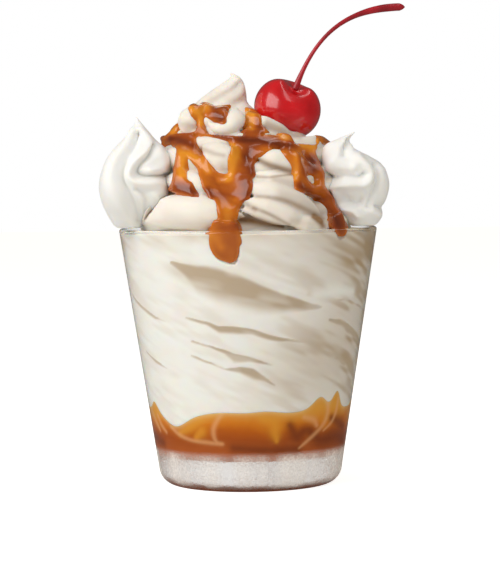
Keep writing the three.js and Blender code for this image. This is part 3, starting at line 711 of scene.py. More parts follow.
# Folds of the soft-serve that slid over the coils as they sagged: azimuth, height, half width.
LOBES = [
    [(13, 128.6, 2.2), (9, 126.2, 3.1), (5, 123.3, 3.2), (-4, 120.9, 2.3), (-12, 120.9, 2),
     (-18, 122.6, 1.3), (-21, 123.9, 0.6)],
    [(18, 125, 1.2), (24, 123.8, 2.1), (31, 122.4, 2.3), (38, 121, 2), (45, 119.8, 1.5), (52, 118.8, 0.8)],
    [(3, 119.3, 1), (10, 118, 0.9), (19, 118.5, 1.2), (25, 118.2, 1.3), (30, 117.4, 0.9)],
    [(-28, 115.4, 2.4), (-21, 113.5, 4), (-14, 111.2, 4.4), (-8, 109.5, 4), (-1, 108.1, 3)],
    [(4, 112.2, 2.2), (12, 111.8, 2.8), (20, 110.4, 3.2), (28, 108.9, 3.2), (37, 107.3, 2.8),
     (44, 105.6, 2)],
    [(0, 105.8, 1.6), (8, 105.3, 2), (16, 104.4, 2.3), (23, 103, 2.5), (31, 100.9, 2.3), (39, 98.5, 2)],
    [(-4, 100.3, 2.6), (3, 100.8, 3.3), (12, 99.9, 3.6), (20, 98, 3.6), (27, 95.9, 3.6), (34, 93.5, 3.3),
     (39, 90.8, 2.4)],
    [(-9, 96.8, 1.4), (-1, 96.7, 2), (8, 95.6, 2.7), (15, 93.6, 3), (21, 91.6, 3), (27, 90.2, 2.7),
     (33, 88.8, 1.8)],
    [(-5, 94.6, 1.4), (2, 93.6, 1.7), (8, 92, 1.5), (14, 90, 1.2), (18, 88.6, 0.7)],
    [(17, 90.4, 1.6), (24, 89.8, 2.4), (31, 89.2, 2.7), (39, 88.7, 2.5), (48, 88, 2)],
    [(-74, 90, 4), (-58, 92, 5), (-43, 93.4, 5.4), (-31, 93.6, 5.6), (-20, 93.2, 5.4), (-9, 92.6, 4.6),
     (0, 92, 2.4)],
    [(-60, 103.2, 2.4), (-44, 103.7, 3.6), (-32, 102.7, 4), (-23, 101, 3.4), (-16, 99.1, 2)],
    [(-69, 112, 2.2), (-50, 111.5, 3.4), (-35, 109.5, 3.2), (-26, 107.6, 2)],
    [(70, 98.6, 2), (82, 100, 3.2), (94, 98.4, 3.4), (106, 94.6, 3.2), (116, 90.6, 2.4)],
    [(136, 101, 2), (150, 101.6, 3.4), (164, 99, 3.8), (178, 95, 3.6), (190, 91, 2.6)],
    [(200, 97.4, 2.2), (214, 98.6, 3.6), (230, 96.4, 4), (246, 92.8, 3.4), (258, 89.4, 2.4)],
    [(160, 111.4, 2), (176, 111.6, 2.8), (194, 109, 3), (212, 105.6, 2.4)],
    [(92, 111, 1.8), (106, 110.4, 2.8), (122, 107.4, 3), (136, 104, 2.2)],
]
# A flat fold at the left of the top.
TOP_LEAF = [
    (-29, 130, 1.2), (-34, 128, 2.5), (-39, 125.6, 3.3), (-43, 123.2, 3.7), (-45, 121, 3.6),
    (-45, 119, 2.2),
]
# height, radius round all the coils
PILE = [(84, 40.6), (90, 41), (97, 38.6), (104, 36), (112, 31.6), (117, 28.6), (124, 22.5), (130, 17)]
LOBE_SINK = 1.7  # how deep a fold's middle lies in the pile
LOBE_DEPTH = 4.3
LOBE_STEPS = 40
ROPE_STEPS = 520
ROPE_START = 20  # the steps in which it rounds out from its cut end
ROPE_RIDGES = 6
ROPE_TWIST = 0.05  # radians a millimetre
LEAN = -7.0  # how far the top leans sideways, and the heights between which it does
LEAN_FROM = 106.0
LEAN_TO = 130.0
SWIRL_VOXEL = 0.46
VIEW_DISTANCE = 843  # where the places given as they are seen from the front are seen from
VIEW_HEIGHT = 111


def lean_at(z):
    """How far sideways the pile leans at a height."""
    return LEAN * smoothstep(z, LEAN_FROM, LEAN_TO)


def frames_along(points, first_normal):
    """A normal and a side at each point of a line, carried forward without turning round it."""
    ahead = np.vstack([points[1:], points[-1:]])
    behind = np.vstack([points[:1], points[:-1]])
    tangents = ahead - behind
    tangents /= np.linalg.norm(tangents, axis=1)[:, None]
    normals = np.empty_like(points)
    normal = np.array(first_normal, float)
    for i, tangent in enumerate(tangents):
        normal = normal - normal.dot(tangent) * tangent
        normal /= np.linalg.norm(normal)
        normals[i] = normal
    return normals, np.cross(normals, tangents)


def bent(name, points, sides, first_normal, radius_at, twist=0.0):
    """A closed rope along a line of points; radius_at(step, angle) is its radius."""
    normals, across = frames_along(points, first_normal)
    travelled = np.concatenate([[0], np.cumsum(np.linalg.norm(np.diff(points, axis=0), axis=1))])
    last = len(points) - 1

    def place(azimuth, share):
        row = np.rint(share * (last + 2)).astype(int)
        step = np.clip(row - 1, 0, last)
        angle = np.radians(azimuth)
        reach = np.where((row == 0) | (row == last + 2), 0.0, radius_at(step, angle))
        turn = angle + twist * travelled[step]
        return (
            points[step]
            + (reach * np.cos(turn))[:, None] * normals[step]
            + (reach * np.sin(turn))[:, None] * across[step]
        )

    return skin(name, sides, last + 2, place)


def lobed(angle, depth):
    """Rounded ridges with sharp grooves between them, as a star nozzle leaves."""
    crest = np.abs(np.cos(ROPE_RIDGES * angle / 2)) ** 0.8
    return 1 - depth * (1.35 - 1.75 * crest)


def rope_piece():
    """The coiled rope, which starts at the right by the rim and ends under the top."""
    table = blended(ROPE, np.linspace(0, 1, ROPE_STEPS + 1))
    # Behind the folds of the front the coils lie deeper, and deepest by the rim.
    front = np.exp(-((apart(table[:, 0], -4) / 54) ** 4)) * smoothstep(table[:, 2], 122, 112)
    low = np.exp(-((apart(table[:, 0], 14) / 24) ** 4)) * smoothstep(table[:, 2], 97, 92)
    points = around(table[:, 0], table[:, 1] - 1.3 * front - 4.2 * low, table[:, 2])
    points[:, 0] += lean_at(table[:, 2])
    radii = table[:, 3] * np.sqrt(np.clip(np.arange(ROPE_STEPS + 1) / ROPE_START, 0.02, 1))
    return bent(
        "coils", points, 72, around(np.array(ROPE[0][0]), 1.0, 0.0),
        lambda step, angle: radii[step] * lobed(angle, 0.15), ROPE_TWIST,
    )


def relief_at(x, z, relief):
    """How far creases and crests raise or sink places seen from the front."""
    total = np.zeros_like(x)
    for rise, rows in relief:
        near = np.zeros_like(x)
        for across, height, half in blended(rows, np.linspace(0, 1, 9 * (len(rows) - 1))):
            near = np.maximum(near, np.exp(-((x - across) ** 2 + (z - height) ** 2) / half**2))
        total = total + rise * near
    return total


def seen_from_front(points):
    """Sideways place and height of points as they are seen from straight in front."""
    share = VIEW_DISTANCE / (VIEW_DISTANCE + points[..., 1])
    return points[..., 0] * share, VIEW_HEIGHT + (points[..., 2] - VIEW_HEIGHT) * share


def drawn_up(name, edges, y, flat, relief, ridges, depth, twist):
    """A piece given by its left and right edge at each height, creased in front and ribbed behind."""

    def place(azimuth, share):
        z, left, right = blended(edges, share).T
        turn = np.radians(azimuth)
        half = np.maximum(0, (right - left) / 2) * np.where((share == 0) | (share == 1), 0, 1)
        across = (left + right) / 2
        behind = smoothstep(np.cos(turn), 0.3, -0.3)
        ribs = depth * half * (np.abs(np.cos(ridges * (turn + twist * z) / 2)) ** 0.8 - 0.6) * behind
        reach = half + ribs + relief_at(across + half * np.sin(turn), z, relief) * (1 - behind)
        reach = np.where(half > 0, np.maximum(reach, 0.1 * half), 0)
        power = 2.5
        square = (np.abs(np.sin(turn)) ** power + np.abs(np.cos(turn)) ** power) ** (-1 / power)
        reach = reach * square
        return np.stack([across + reach * np.sin(turn), y - flat * reach * np.cos(turn), z], axis=-1)

    return skin(name, 240, 180, place)


def core_piece():
    """What the coils stand on, out of sight inside them."""
    table = np.array([(0, 84), (34, 84), (33, 90), (28, 98), (22, 106), (16, 114), (8, 121), (0, 123)])

    def place(azimuth, share):
        r, z = blended(table, share).T
        return around(azimuth, r, z)

    return skin("core", 48, 21, place)


def pile_radius(z):
    """Radius round all the coils at a height."""
    heights, radii = zip(*PILE)
    return np.interp(z, heights, radii)


def lobe_piece(name, rows, sink=LOBE_SINK):
    """A fold that lies on the pile along a line, round in section and drawn in at its ends."""
    table = blended(rows, np.linspace(0, 1, LOBE_STEPS + 1))
    azimuth, z, half_width = table.T
    points = around(azimuth, pile_radius(z) - sink, z)
    points[:, 0] += lean_at(z)
    upright = np.clip((azimuth[-1] - azimuth[0]) / 20, -1, 1)

    def radius_at(step, angle):
        share = step / LOBE_STEPS
        ends = np.clip(np.minimum(share, 1 - share) / 0.36, 0.02, 1) ** 0.65
        half = 1.04 * half_width[step] * ends
        proud = np.minimum(LOBE_DEPTH * (0.5 + 0.12 * half_width[step]), 1.3 * half) * ends
        # A fold is fuller at its lower edge, where it hangs over the one below.
        proud = proud * np.where(np.cos(angle) > 0, 1 - 0.12 * upright * np.sin(angle), 1)
        rounding = (np.abs(np.cos(angle)) / proud) ** 2.3 + (np.abs(np.sin(angle)) / half) ** 2.3
        return rounding ** (-1 / 2.3)

    return bent(name, points, 36, around(azimuth[0], 1.0, 0.0), radius_at)


def joined(name, pieces):
    only(pieces[0])
    for piece in pieces:
        piece.select_set(True)
    bpy.ops.object.join()
    return named(bpy.context.object, name)


def modified(piece, kind, **settings):
    only(piece)
    modifier = piece.modifiers.new(kind.lower(), kind)
    for key, value in settings.items():
        setattr(modifier, key, value)
    bpy.ops.object.modifier_apply(modifier=modifier.name)


def groove_share(piece, evening, deepest):
    """How deep each point lies in a groove: its distance under an evened copy of the piece."""
    normals = np.empty(len(piece.data.vertices) * 3)
    piece.data.vertices.foreach_get("normal", normals)
    only(piece)
    bpy.ops.object.duplicate()
    even = bpy.context.object
    modified(even, "SMOOTH", factor=0.5, iterations=evening)
    raised = ((points_of(even) - points_of(piece)) * normals.reshape(-1, 3)).sum(axis=1)
    bpy.data.objects.remove(even)
    return smoothstep(raised, 0.05, deepest)


lobes = [lobe_piece(f"lobe_{i}", rows) for i, rows in enumerate(LOBES)]
lobes.append(lobe_piece("top_leaf", TOP_LEAF, 3.2))
top = drawn_up("top", PEAK, 0, 0.75, PEAK_RELIEF, 5, 0.2, 0.07)
swirl = joined("soft_serve_swirl", [core_piece(), rope_piece(), top] + lobes)
modified(swirl, "REMESH", mode="VOXEL", voxel_size=SWIRL_VOXEL * MM)
modified(swirl, "SMOOTH", factor=0.5, iterations=6)


# The rosettes' outlines, which the soft-serve is pressed back by: height, left and right edge.
LEFT_EDGES = [
    (88.1, -43.1, -36.2), (88.7, -44.2, -35.3), (90, -45.2, -33.9), (92.4, -46.6, -31.7),
    (95.3, -48.1, -29.2), (98.3, -48.9, -27), (101.2, -49.2, -26), (104.1, -48.9, -25.5),
    (107.1, -48.1, -25.1), (110, -47, -25.1), (112.6, -45.5, -25.9), (114.9, -43.7, -27.8),
    (117.2, -41.3, -30.2), (118.8, -39.8, -31.7), (120.3, -38.6, -32.9), (122.3, -37.5, -34.5),
    (123.7, -37.1, -35.6), (125, -36.9, -36.5),
]
RIGHT_EDGES = [
    (88, 34.9, 42.1), (88.7, 33.7, 43.1), (90.4, 32.3, 44.3), (91.9, 31.3, 44.7), (94, 30, 44.6),
    (95.8, 29.2, 45.4), (98.8, 27.6, 46.4), (101.7, 26.6, 46.8), (104.6, 26, 46.3), (107.1, 25.7, 45.3),
    (109, 25.3, 43.9), (110.6, 25.1, 41.5), (111.8, 25.1, 39.4), (113.2, 25.3, 36.6), (114.5, 25.7, 34.7),
    (115.7, 27, 34.2), (116.9, 30, 34.4), (117.9, 32.3, 35), (118.6, 34.2, 35.6), (119.2, 35.5, 36.1),
]
ROSETTE_MIDDLE = -17.5  # how far to the front they stand
ROSETTE_SQUARENESS = 2.5
ROSETTE_SHOULDER = 116.0  # the soft-serve is pressed back below this height


def keep_behind_rosettes(points):
    """Points in front of a rosette are pressed back to just inside it."""
    for edges in (LEFT_EDGES, RIGHT_EDGES):
        heights, left, right = np.array(edges).T
        half = (np.interp(points[:, 2], heights, right) - np.interp(points[:, 2], heights, left)) / 2
        middle = np.interp(points[:, 2], heights, left) + half
        inside = np.clip(1 - np.abs((points[:, 0] - middle) / half) ** ROSETTE_SQUARENESS, 0, None)
        front = ROSETTE_MIDDLE - half * inside ** (1 / ROSETTE_SQUARENESS) + 0.5
        pressed = (inside > 0.3) & (points[:, 2] < ROSETTE_SHOULDER) & (points[:, 1] < front)
        points[pressed, 1] = front[pressed]
    return points


def keep_inside_glass(points):
    """Points below the rim are held off the glass."""
    radius = np.hypot(points[:, 0], points[:, 1])
    limit = inner_wall(points[:, 2]) - 0.2
    drawn_in = np.minimum(1, limit / np.maximum(radius, 1e-6))
    share = np.where(points[:, 2] < RIM_HEIGHT + 0.6, drawn_in, 1)
    points[:, :2] *= share[:, None]
    return points


move_points(swirl, keep_inside_glass(keep_behind_rosettes(points_of(swirl))))
modified(swirl, "SMOOTH", factor=0.5, iterations=2)
bpy.ops.object.shade_smooth()
swirl_x, swirl_z = seen_from_front(points_of(swirl))
in_front = points_of(swirl)[:, 1] < 0
shadow = relief_at(swirl_x, swirl_z, SHADOWS) * in_front
# Painted shade in the grooves and along the painted shadows.
note(swirl, "painted_shade", np.maximum(0.8 * groove_share(swirl, 60, 1.4), np.minimum(shadow, 1)))
swirl.data.materials.clear()
swirl.data.materials.append(ice_cream(
    "soft_serve_open", (0.87, 0.83, 0.76), (0.81, 0.755, 0.675), (0.29, 0.17, 0.085), 0.35
))
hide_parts("soft_serve")
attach(swirl, "root")

# ---- Caramel drizzle ---------------------------------------------------------------------------
# Thick caramel sauce, run round the top coil and down over the others. It lies on the soft-serve, fills
# its creases, is pale amber where it is thin and brown where it is deep, with painted light and painted
# shade drawn over that.

# The sauce on the front, as outlines of sideways place and height seen from straight in front.
SAUCE_SHAPES = [
    [(-20, 128.2), (-17.7, 129.7), (-16.9, 129.3), (-16, 128.6), (-14.7, 129.3), (-13.2, 129.9),
     (-12, 129.5), (-10.9, 128.8), (-9.4, 128.4), (-7.7, 128.7), (-6.4, 129.1), (-5.1, 129.2),
     (-5.8, 128), (-6.4, 126.5), (-6.9, 124.8), (-6.9, 123.1), (-7.8, 122.5), (-9.1, 122.7),
     (-10.4, 123.2), (-11.6, 123.8), (-12.9, 124.5), (-13.9, 125.3), (-14.7, 124.5), (-14.6, 122.8),
     (-14, 121.3), (-13.3, 120), (-13, 119.2), (-18.9, 119.3), (-18.9, 119.7), (-17.6, 120.3),
     (-16.8, 121.6), (-16.2, 122.8), (-16.7, 123.5), (-17.6, 123.7), (-18.4, 124.6), (-19, 125.8),
     (-19.4, 126.9)],
    [(-0.5, 128.2), (0.8, 127.9), (2.5, 127.3), (3.9, 126.4), (4.8, 125.5), (5.1, 124.3), (5, 123),
     (5, 121.9), (5.8, 121.3), (6.6, 120.6), (8.1, 119.5), (6.6, 119.4), (5.3, 119.2), (5.3, 118.1),
     (-1.1, 118.2), (-1, 119.3), (-2.3, 120.1), (-1, 120.7), (-0.4, 121.4), (-0.2, 123.1), (-0.3, 124.8),
     (-0.4, 126.5)],
    [(10.2, 119.2), (11.7, 119.5), (13.4, 119.1), (15.1, 118.2), (15.7, 116.7), (13.4, 116.4),
     (10.8, 116.7), (10.2, 118)],
    [(-27.4, 118.5), (-26.1, 119.7), (-24.8, 121.7), (-23.6, 123), (-23.1, 122.5), (-23.6, 120.8),
     (-23.8, 119.3)],
    [(23.2, 121), (24.9, 120), (26.6, 118.2), (28.1, 116.3), (27, 116.4), (25.3, 117.2), (23.6, 117.6)],
    [(-31.1, 117.7), (-29.1, 118.4), (-26.6, 118.9), (-23.2, 119.4), (-18.9, 119.6), (-14.7, 119.4),
     (-9.6, 119.1), (-4.5, 118.6), (-1.1, 118.2), (2.4, 118.7), (4.9, 118.2), (7.9, 117.1), (10.8, 116.8),
     (13.8, 116.8), (15.7, 116.7), (15.9, 113.1), (12.5, 113.8), (6.6, 114.3), (-4.5, 115.5),
     (-6.2, 116.8), (-9, 117.8), (-11.7, 118.4), (-13.8, 118.6), (-17.2, 118.9), (-23.2, 117.4),
     (-27, 116.8), (-29.2, 116.8), (-30.2, 116.1)],
    [(-30.8, 117.6), (-29, 118.5), (-26.7, 118.9), (-21.2, 119.6), (-18.1, 119.6), (-17.3, 118.6),
     (-17.3, 116.8), (-16.5, 114.9), (-14.5, 111.7), (-11.9, 108.1), (-10.5, 106.5), (-9.2, 105.8),
     (-7.1, 105.6), (-6.5, 105.3), (-6.6, 97.1), (-12, 97), (-13.2, 97.4), (-14.5, 99.5), (-15.4, 101.3),
     (-16, 103.6), (-16.7, 105.9), (-17.3, 107.9), (-18.7, 109.8), (-19.9, 111.6), (-20.9, 112.7),
     (-20.5, 111.4), (-20.1, 109.5), (-20.3, 107.7), (-20.6, 105.9), (-20.6, 104.1), (-19.9, 103.4),
     (-18.8, 102.9), (-17.7, 100.4), (-16.3, 97.8), (-17.9, 97.9), (-20.2, 98.3), (-22.9, 98.7),
     (-25.2, 99.2), (-26.6, 99.6), (-26.9, 100.6), (-26.5, 101.9), (-25.8, 103), (-25.1, 106.9),
     (-24.6, 110.5), (-24, 113.9), (-24.3, 114.8), (-25.4, 115.3), (-26.5, 116.4), (-27.4, 117.4),
     (-28.8, 117.4), (-30.1, 116.5)],
    [(-7.2, 118.4), (-6.3, 116.8), (-5.6, 115.7), (-5.4, 114.3), (-5.7, 113), (-6.4, 111.6),
     (-6.6, 109.8), (-6.6, 108), (-6.4, 105.7), (-9.2, 105.3), (-12.4, 105.4), (-12.9, 97.4),
     (-11.8, 97.2), (-11.1, 96.5), (-10.7, 94.9), (-10.5, 93.1), (-10.3, 91.2), (-9.9, 89.9), (-10.8, 89),
     (-12.1, 87.6), (-14, 86.3), (-14.5, 84.5), (-2, 84.3), (-2.2, 86.1), (-2.4, 87.5), (-3, 88.7),
     (-3.7, 89.8), (-3.2, 91.6), (-2.8, 93), (-2.3, 94.3), (-1.6, 95.7), (-0.7, 96.6), (0.7, 96.8),
     (1.2, 97.9), (1.4, 99.3), (1.8, 100.6), (1.9, 102), (1.7, 103.8), (2.9, 105.2), (2.6, 107.4),
     (2.4, 108.6), (3.1, 109.7), (4.1, 110.6), (5.2, 111.7), (6.8, 113), (8.6, 113.9), (10.9, 114.6),
     (13.7, 115.2), (15.5, 116.8), (9.2, 118.7)],
    [(10.5, 115.9), (11.1, 114.1), (11.8, 112.8), (12.9, 111.4), (14, 110), (14.7, 108.9), (15.3, 107.5),
     (15.6, 105.4), (15.7, 103.6), (16, 101.8), (16.4, 100.2), (18, 99.3), (20.3, 98.3), (22.5, 97.2),
     (24.3, 96), (25.7, 94.9), (27, 93.5), (27.7, 91.9), (27.5, 90.3), (27.4, 88.5), (27.9, 87.1),
     (28.8, 86), (30.3, 85.3), (32.4, 85.5), (33.8, 86.6), (34, 87.5), (33.3, 88.9), (32.4, 90.2),
     (31.6, 91.6), (31.3, 93), (30.7, 93.9), (29.5, 94.8), (29.1, 96.6), (28.4, 98), (27.3, 99.8),
     (26.4, 101.4), (26.2, 103), (26.3, 105.3), (25.8, 106.7), (24.9, 108), (24.5, 109.4), (23.8, 111.2),
     (23.2, 112.8), (23.9, 114), (24, 115.2), (21.8, 115.2), (19.1, 115.5), (16.4, 115.7), (15.9, 116.8),
     (13.7, 117.3)],
    [(23.4, 116.5), (24, 115.2), (24.6, 115.8), (25, 117.6), (26.4, 118.2), (25.1, 119.4), (23.9, 118.5)],
]
SAUCE_GAPS = [
    [(19.9, 104.8), (21.7, 105), (22.8, 104.4), (23.1, 103.1), (22.9, 101.7), (21.9, 102), (20.8, 102.9),
     (20.1, 103.8)],
]
# Strands that stand out of it: rise, then sideways place, height and half width along each.
SAUCE_RELIEF = [
    (0.7, [(13.2, 113.2, 0.7), (14.1, 111.4, 0.7), (15.2, 109.5, 0.7), (15.8, 107.7, 0.7), (16, 105, 0.7),
     (16.7, 102.7, 0.7), (17.3, 101.1, 0.7)]),
    (0.9, [(13.6, 114.5, 0.8), (15.4, 113.2, 1), (16.6, 110.9, 1), (17, 108.2, 0.9), (18.1, 105.9, 0.9),
     (19.4, 103.6, 1), (20.8, 101.7, 1.1), (23, 100.6, 1.2), (25.3, 99.4, 1.3), (27.5, 97.1, 1.4),
     (28.4, 95.3, 1.3), (29.8, 93, 1.3), (31.5, 90.2, 1.6), (32.9, 88, 1.6)]),
    (0.5, [(18.2, 113.6, 0.8), (19.5, 111.7, 0.8), (20.9, 109.5, 0.8), (22.6, 107.2, 0.8),
     (24.7, 106.2, 0.8)]),
    (0.5, [(24.7, 107.6, 0.7), (25.6, 105.3, 0.7), (24.4, 103.5, 0.7), (23.7, 101, 0.7)]),
    (0.7, [(-6.3, 118.7, 0.6), (-2.7, 117, 0.7), (1.9, 116.3, 0.8), (6.8, 115.3, 0.8), (10.9, 115.5, 0.8),
     (15.5, 114.1, 0.9), (17.3, 112.7, 0.9)]),
    (0.6, [(-20.9, 112.7, 0.7), (-18.7, 109.8, 0.7), (-16.9, 106.8, 0.7), (-16, 103.6, 0.7),
     (-15.2, 101.3, 0.7), (-13.8, 99, 0.7), (-12.5, 97.2, 0.7)]),
    (0.6, [(-10.7, 96.3, 0.9), (-9.8, 93.5, 0.9), (-9.5, 89.9, 0.9), (-11.7, 87.2, 0.9)]),
    (0.6, [(-0.7, 95.7, 0.8), (-2.3, 92.5, 0.8), (-3, 89.8, 0.8), (-2.4, 87.1, 0.8)]),
    (0.6, [(-12.4, 103.1, 0.6), (-10.1, 103, 0.6), (-7.4, 103, 0.6), (-6.5, 103.6, 0.6)]),
    (0.5, [(-2.8, 104.8, 0.7), (-0.5, 105.2, 0.7), (1.7, 104.7, 0.7)]),
    (0.5, [(-22.7, 112.3, 0.8), (-23.2, 109.1, 0.8), (-23.7, 105.5, 0.8), (-24.4, 101.9, 0.8),
     (-25.2, 100.1, 0.8)]),
    (0.5, [(-30.4, 117.2, 0.6), (-28.1, 117.7, 0.6), (-25.8, 117.1, 0.6), (-22.6, 118.6, 0.6),
     (-18.5, 119.3, 0.6)]),
    (0.4, [(-25.8, 116.4, 0.5), (-23.5, 117.8, 0.5), (-20.3, 118.6, 0.5), (-18.1, 116.3, 0.5),
     (-16.8, 114, 0.5)]),
    (0.5, [(-14.7, 128.8, 0.5), (-15.6, 126.7, 0.5), (-15.8, 124.1, 0.5), (-16.2, 121.6, 0.5)]),
    (0.4, [(-18.8, 127.5, 0.6), (-17.6, 125.8, 0.6), (-15.8, 127.1, 0.6), (-13.7, 129.2, 0.6)]),
    (0.4, [(-13.7, 127.9, 0.8), (-11.2, 126.2, 0.8), (-8.6, 126.6, 0.8), (-6.5, 127.8, 0.8)]),
]
# Where it is thin and amber, in part painted light, and where it is thick and dark, in part painted shade,
# drawn the same way.
SAUCE_AMBER = [
    (1, [(-5, 115.6, 1.6), (-3.6, 113.4, 2), (-4.8, 110, 1.8), (-5.2, 107, 1.4), (-6, 104.6, 1.6)]),
    (1, [(0.6, 126.6, 1.5), (1.6, 124.6, 1.9), (1.4, 121.6, 1.5)]),
    (1, [(-19, 128, 1.2), (-16.6, 127, 1.2), (-13.6, 128.4, 1.6)]),
    (1, [(-15.8, 125, 1), (-15.6, 122.6, 1)]),
    (1, [(-22.4, 112.6, 1.6), (-22.6, 109, 1.7), (-22.4, 105.6, 1.6)]),
    (0.8, [(-19.6, 112.4, 1.4), (-16.4, 110, 1.8), (-13.4, 106.6, 1.6)]),
    (1, [(13, 117.6, 1.6), (11.6, 118.4, 1)]),
    (0.9, [(19, 114.4, 1.6), (22, 114, 1.8), (23.6, 116, 1.2)]),
    (0.7, [(16.4, 112, 1.2), (17, 108, 1.2), (16.4, 104, 1)]),
    (0.7, [(-9.6, 103.6, 1.2), (-7, 103.6, 1.2)]),
    (0.8, [(-25.4, 120.4, 1.4), (-24.4, 121.6, 1)]),
    (0.5, [(-7, 93, 2), (-7, 89.4, 2)]),
    (0.5, [(-11.4, 86, 2), (-11, 83.4, 2.4), (-9.4, 81, 1.8)]),
]
SAUCE_DARK = [
    (1, [(-11, 119, 0.9), (-4, 117.4, 1.2), (3, 117, 1.4), (9, 116, 1.4), (14, 115.2, 1.4)]),
    (1, [(0.6, 113, 3), (0.4, 109.6, 2.6), (1.6, 106.6, 1.8)]),
    (1, [(-10.4, 126, 1.8), (-8.4, 124.6, 1.6)]),
    (0.8, [(3.4, 124.4, 1.2), (4.4, 121.8, 1.2)]),
    (1, [(-26, 117.8, 1), (-21, 117, 1.6), (-18.6, 115.6, 1.4)]),
    (1, [(-23.4, 101.4, 1.4), (-20, 100.6, 1.8), (-18, 98.8, 1.2)]),
    (1, [(-0.6, 102, 2.4), (-0.4, 99, 2.4), (-1.2, 97, 1.6)]),
    (1, [(22, 109.4, 2.2), (22.6, 106.8, 1.8)]),
    (0.8, [(17.6, 101.4, 1.4), (21, 99, 1.2), (26, 95.6, 1.4), (29.4, 90.6, 1.6), (31, 87, 2)]),
    (0.8, [(-13.4, 100.4, 1.2), (-12, 98, 1)]),
    (0.7, [(-1.6, 119, 1.2), (2, 119.8, 1.4), (5, 120, 1)]),
]
# azimuth, height and half width of each strand at the sides and behind
STRANDS = [
    [(72, 118.4, 1.3), (80, 117.2, 1.3), (92, 115, 1.4), (104, 110.6, 1.7), (108, 105.6, 1.9)],
    [(-56, 122.6, 1.3), (-66, 119, 1.6), (-80, 114.6, 1.6), (-84, 108.6, 1.9)],
    [(70, 117, 1.4), (100, 115.4, 1.6), (140, 118, 1.8), (168, 116.4, 1.7), (196, 118, 1.8),
     (226, 116.6, 1.7), (262, 117.6, 1.5), (284, 117, 1.3), (296, 116.8, 1.3)],
    [(146, 117.6, 2.2), (150, 112, 2.1), (147, 105, 2), (151, 98, 2.4), (150, 92.6, 2.8)],
    [(194, 118, 2.6), (190, 112, 2.6), (195, 106, 2.2), (192, 99, 3)],
    [(226, 117, 2.2), (232, 111, 2), (228, 104.4, 1.9), (234, 98, 2.8)],
    [(196, 126.4, 2.4), (202, 121, 2.2), (208, 117.4, 2.2)],
]
SAUCE_MIDDLE = np.array([-4.0, 0.0, 100.0])  # the sauce's height is measured out from here
SAUCE_COLUMNS = 620
SAUCE_ROWS = 172
SAUCE_LOW = -21.0  # degrees under and over that middle
SAUCE_HIGH = 80.0
SAUCE_EDGE = 1.5  # how wide its rounded edge is
SAUCE_SWELL = 1.1  # how far it stands out inside that edge
SAUCE_BACKING = 1.5
SAUCE_FRONT = 96  # the outlines hold up to this far to each side, in degrees
BRIDGING = 60  # rounds in which its underside comes to span the grooves
EVENING = 24
SMOOTHING = 10
SAUCE_VOXEL = 0.36


def outer_surface(pieces):
    """The faces of some pieces together, in millimetres, to measure against."""
    points, faces = [], []
    for piece in pieces:
        start = len(points)
        points.extend(Vector(point) for point in points_of(piece))
        faces.extend([start + i for i in polygon.vertices] for polygon in piece.data.polygons)
    return BVHTree.FromPolygons(points, faces)


def reach_along(surface, middle, direction, far=90.0):
    """How far out the surface lies from a middle, along a direction."""
    hit = surface.ray_cast(Vector(middle + direction * far), Vector(-direction), far)
    return far - hit[3] if hit[0] is not None else np.nan


def strand_points(surface, rows):
    """Where a strand runs: points on the coils, evened out so that they bridge the grooves."""
    table = blended(rows, np.linspace(0, 1, 12 * (len(rows) - 1) + 1))
    reach = []
    for azimuth, z, half in table:
        outward = around(azimuth, 1.0, 0.0)
        reach.append(reach_along(surface, np.array([lean_at(z), 0, z]), outward))
    reach = np.array(reach)
    known = np.isfinite(reach)
    reach = np.interp(np.arange(len(reach)), np.flatnonzero(known), reach[known])
    for _ in range(10):
        padded = np.concatenate([reach[:1], reach, reach[-1:]])
        reach = np.maximum(reach, (padded[:-2] + padded[1:-1] + padded[2:]) / 3)
    points = around(table[:, 0], reach, table[:, 1])
    points[:, 0] += lean_at(table[:, 1])
    return points, table[:, 2]


def blurred(field):
    """Each value of a grid that closes on itself sideways, evened with its neighbours."""
    above, below = np.vstack([field[:1], field[:-1]]), np.vstack([field[1:], field[-1:]])
    return (field * 2 + np.roll(field, 1, 1) + np.roll(field, -1, 1) + above + below) / 6


def within(x, z, outline):
    """How far places lie inside an outline; less than 0 outside it."""
    nearest = np.full(x.shape, 1e9)
    inside = np.zeros(x.shape, bool)
    for (ax, az), (bx, bz) in zip(outline, outline[1:] + outline[:1]):
        along_x, along_z = bx - ax, bz - az
        length = along_x**2 + along_z**2 + 1e-9
        share = np.clip(((x - ax) * along_x + (z - az) * along_z) / length, 0, 1)
        nearest = np.minimum(nearest, (ax + share * along_x - x) ** 2 + (az + share * along_z - z) ** 2)
        crosses = (az > z) != (bz > z)
        inside ^= crosses & (x < ax + (z - az) * along_x / (along_z if along_z else 1e-9))
    return np.where(inside, 1, -1) * np.sqrt(nearest)


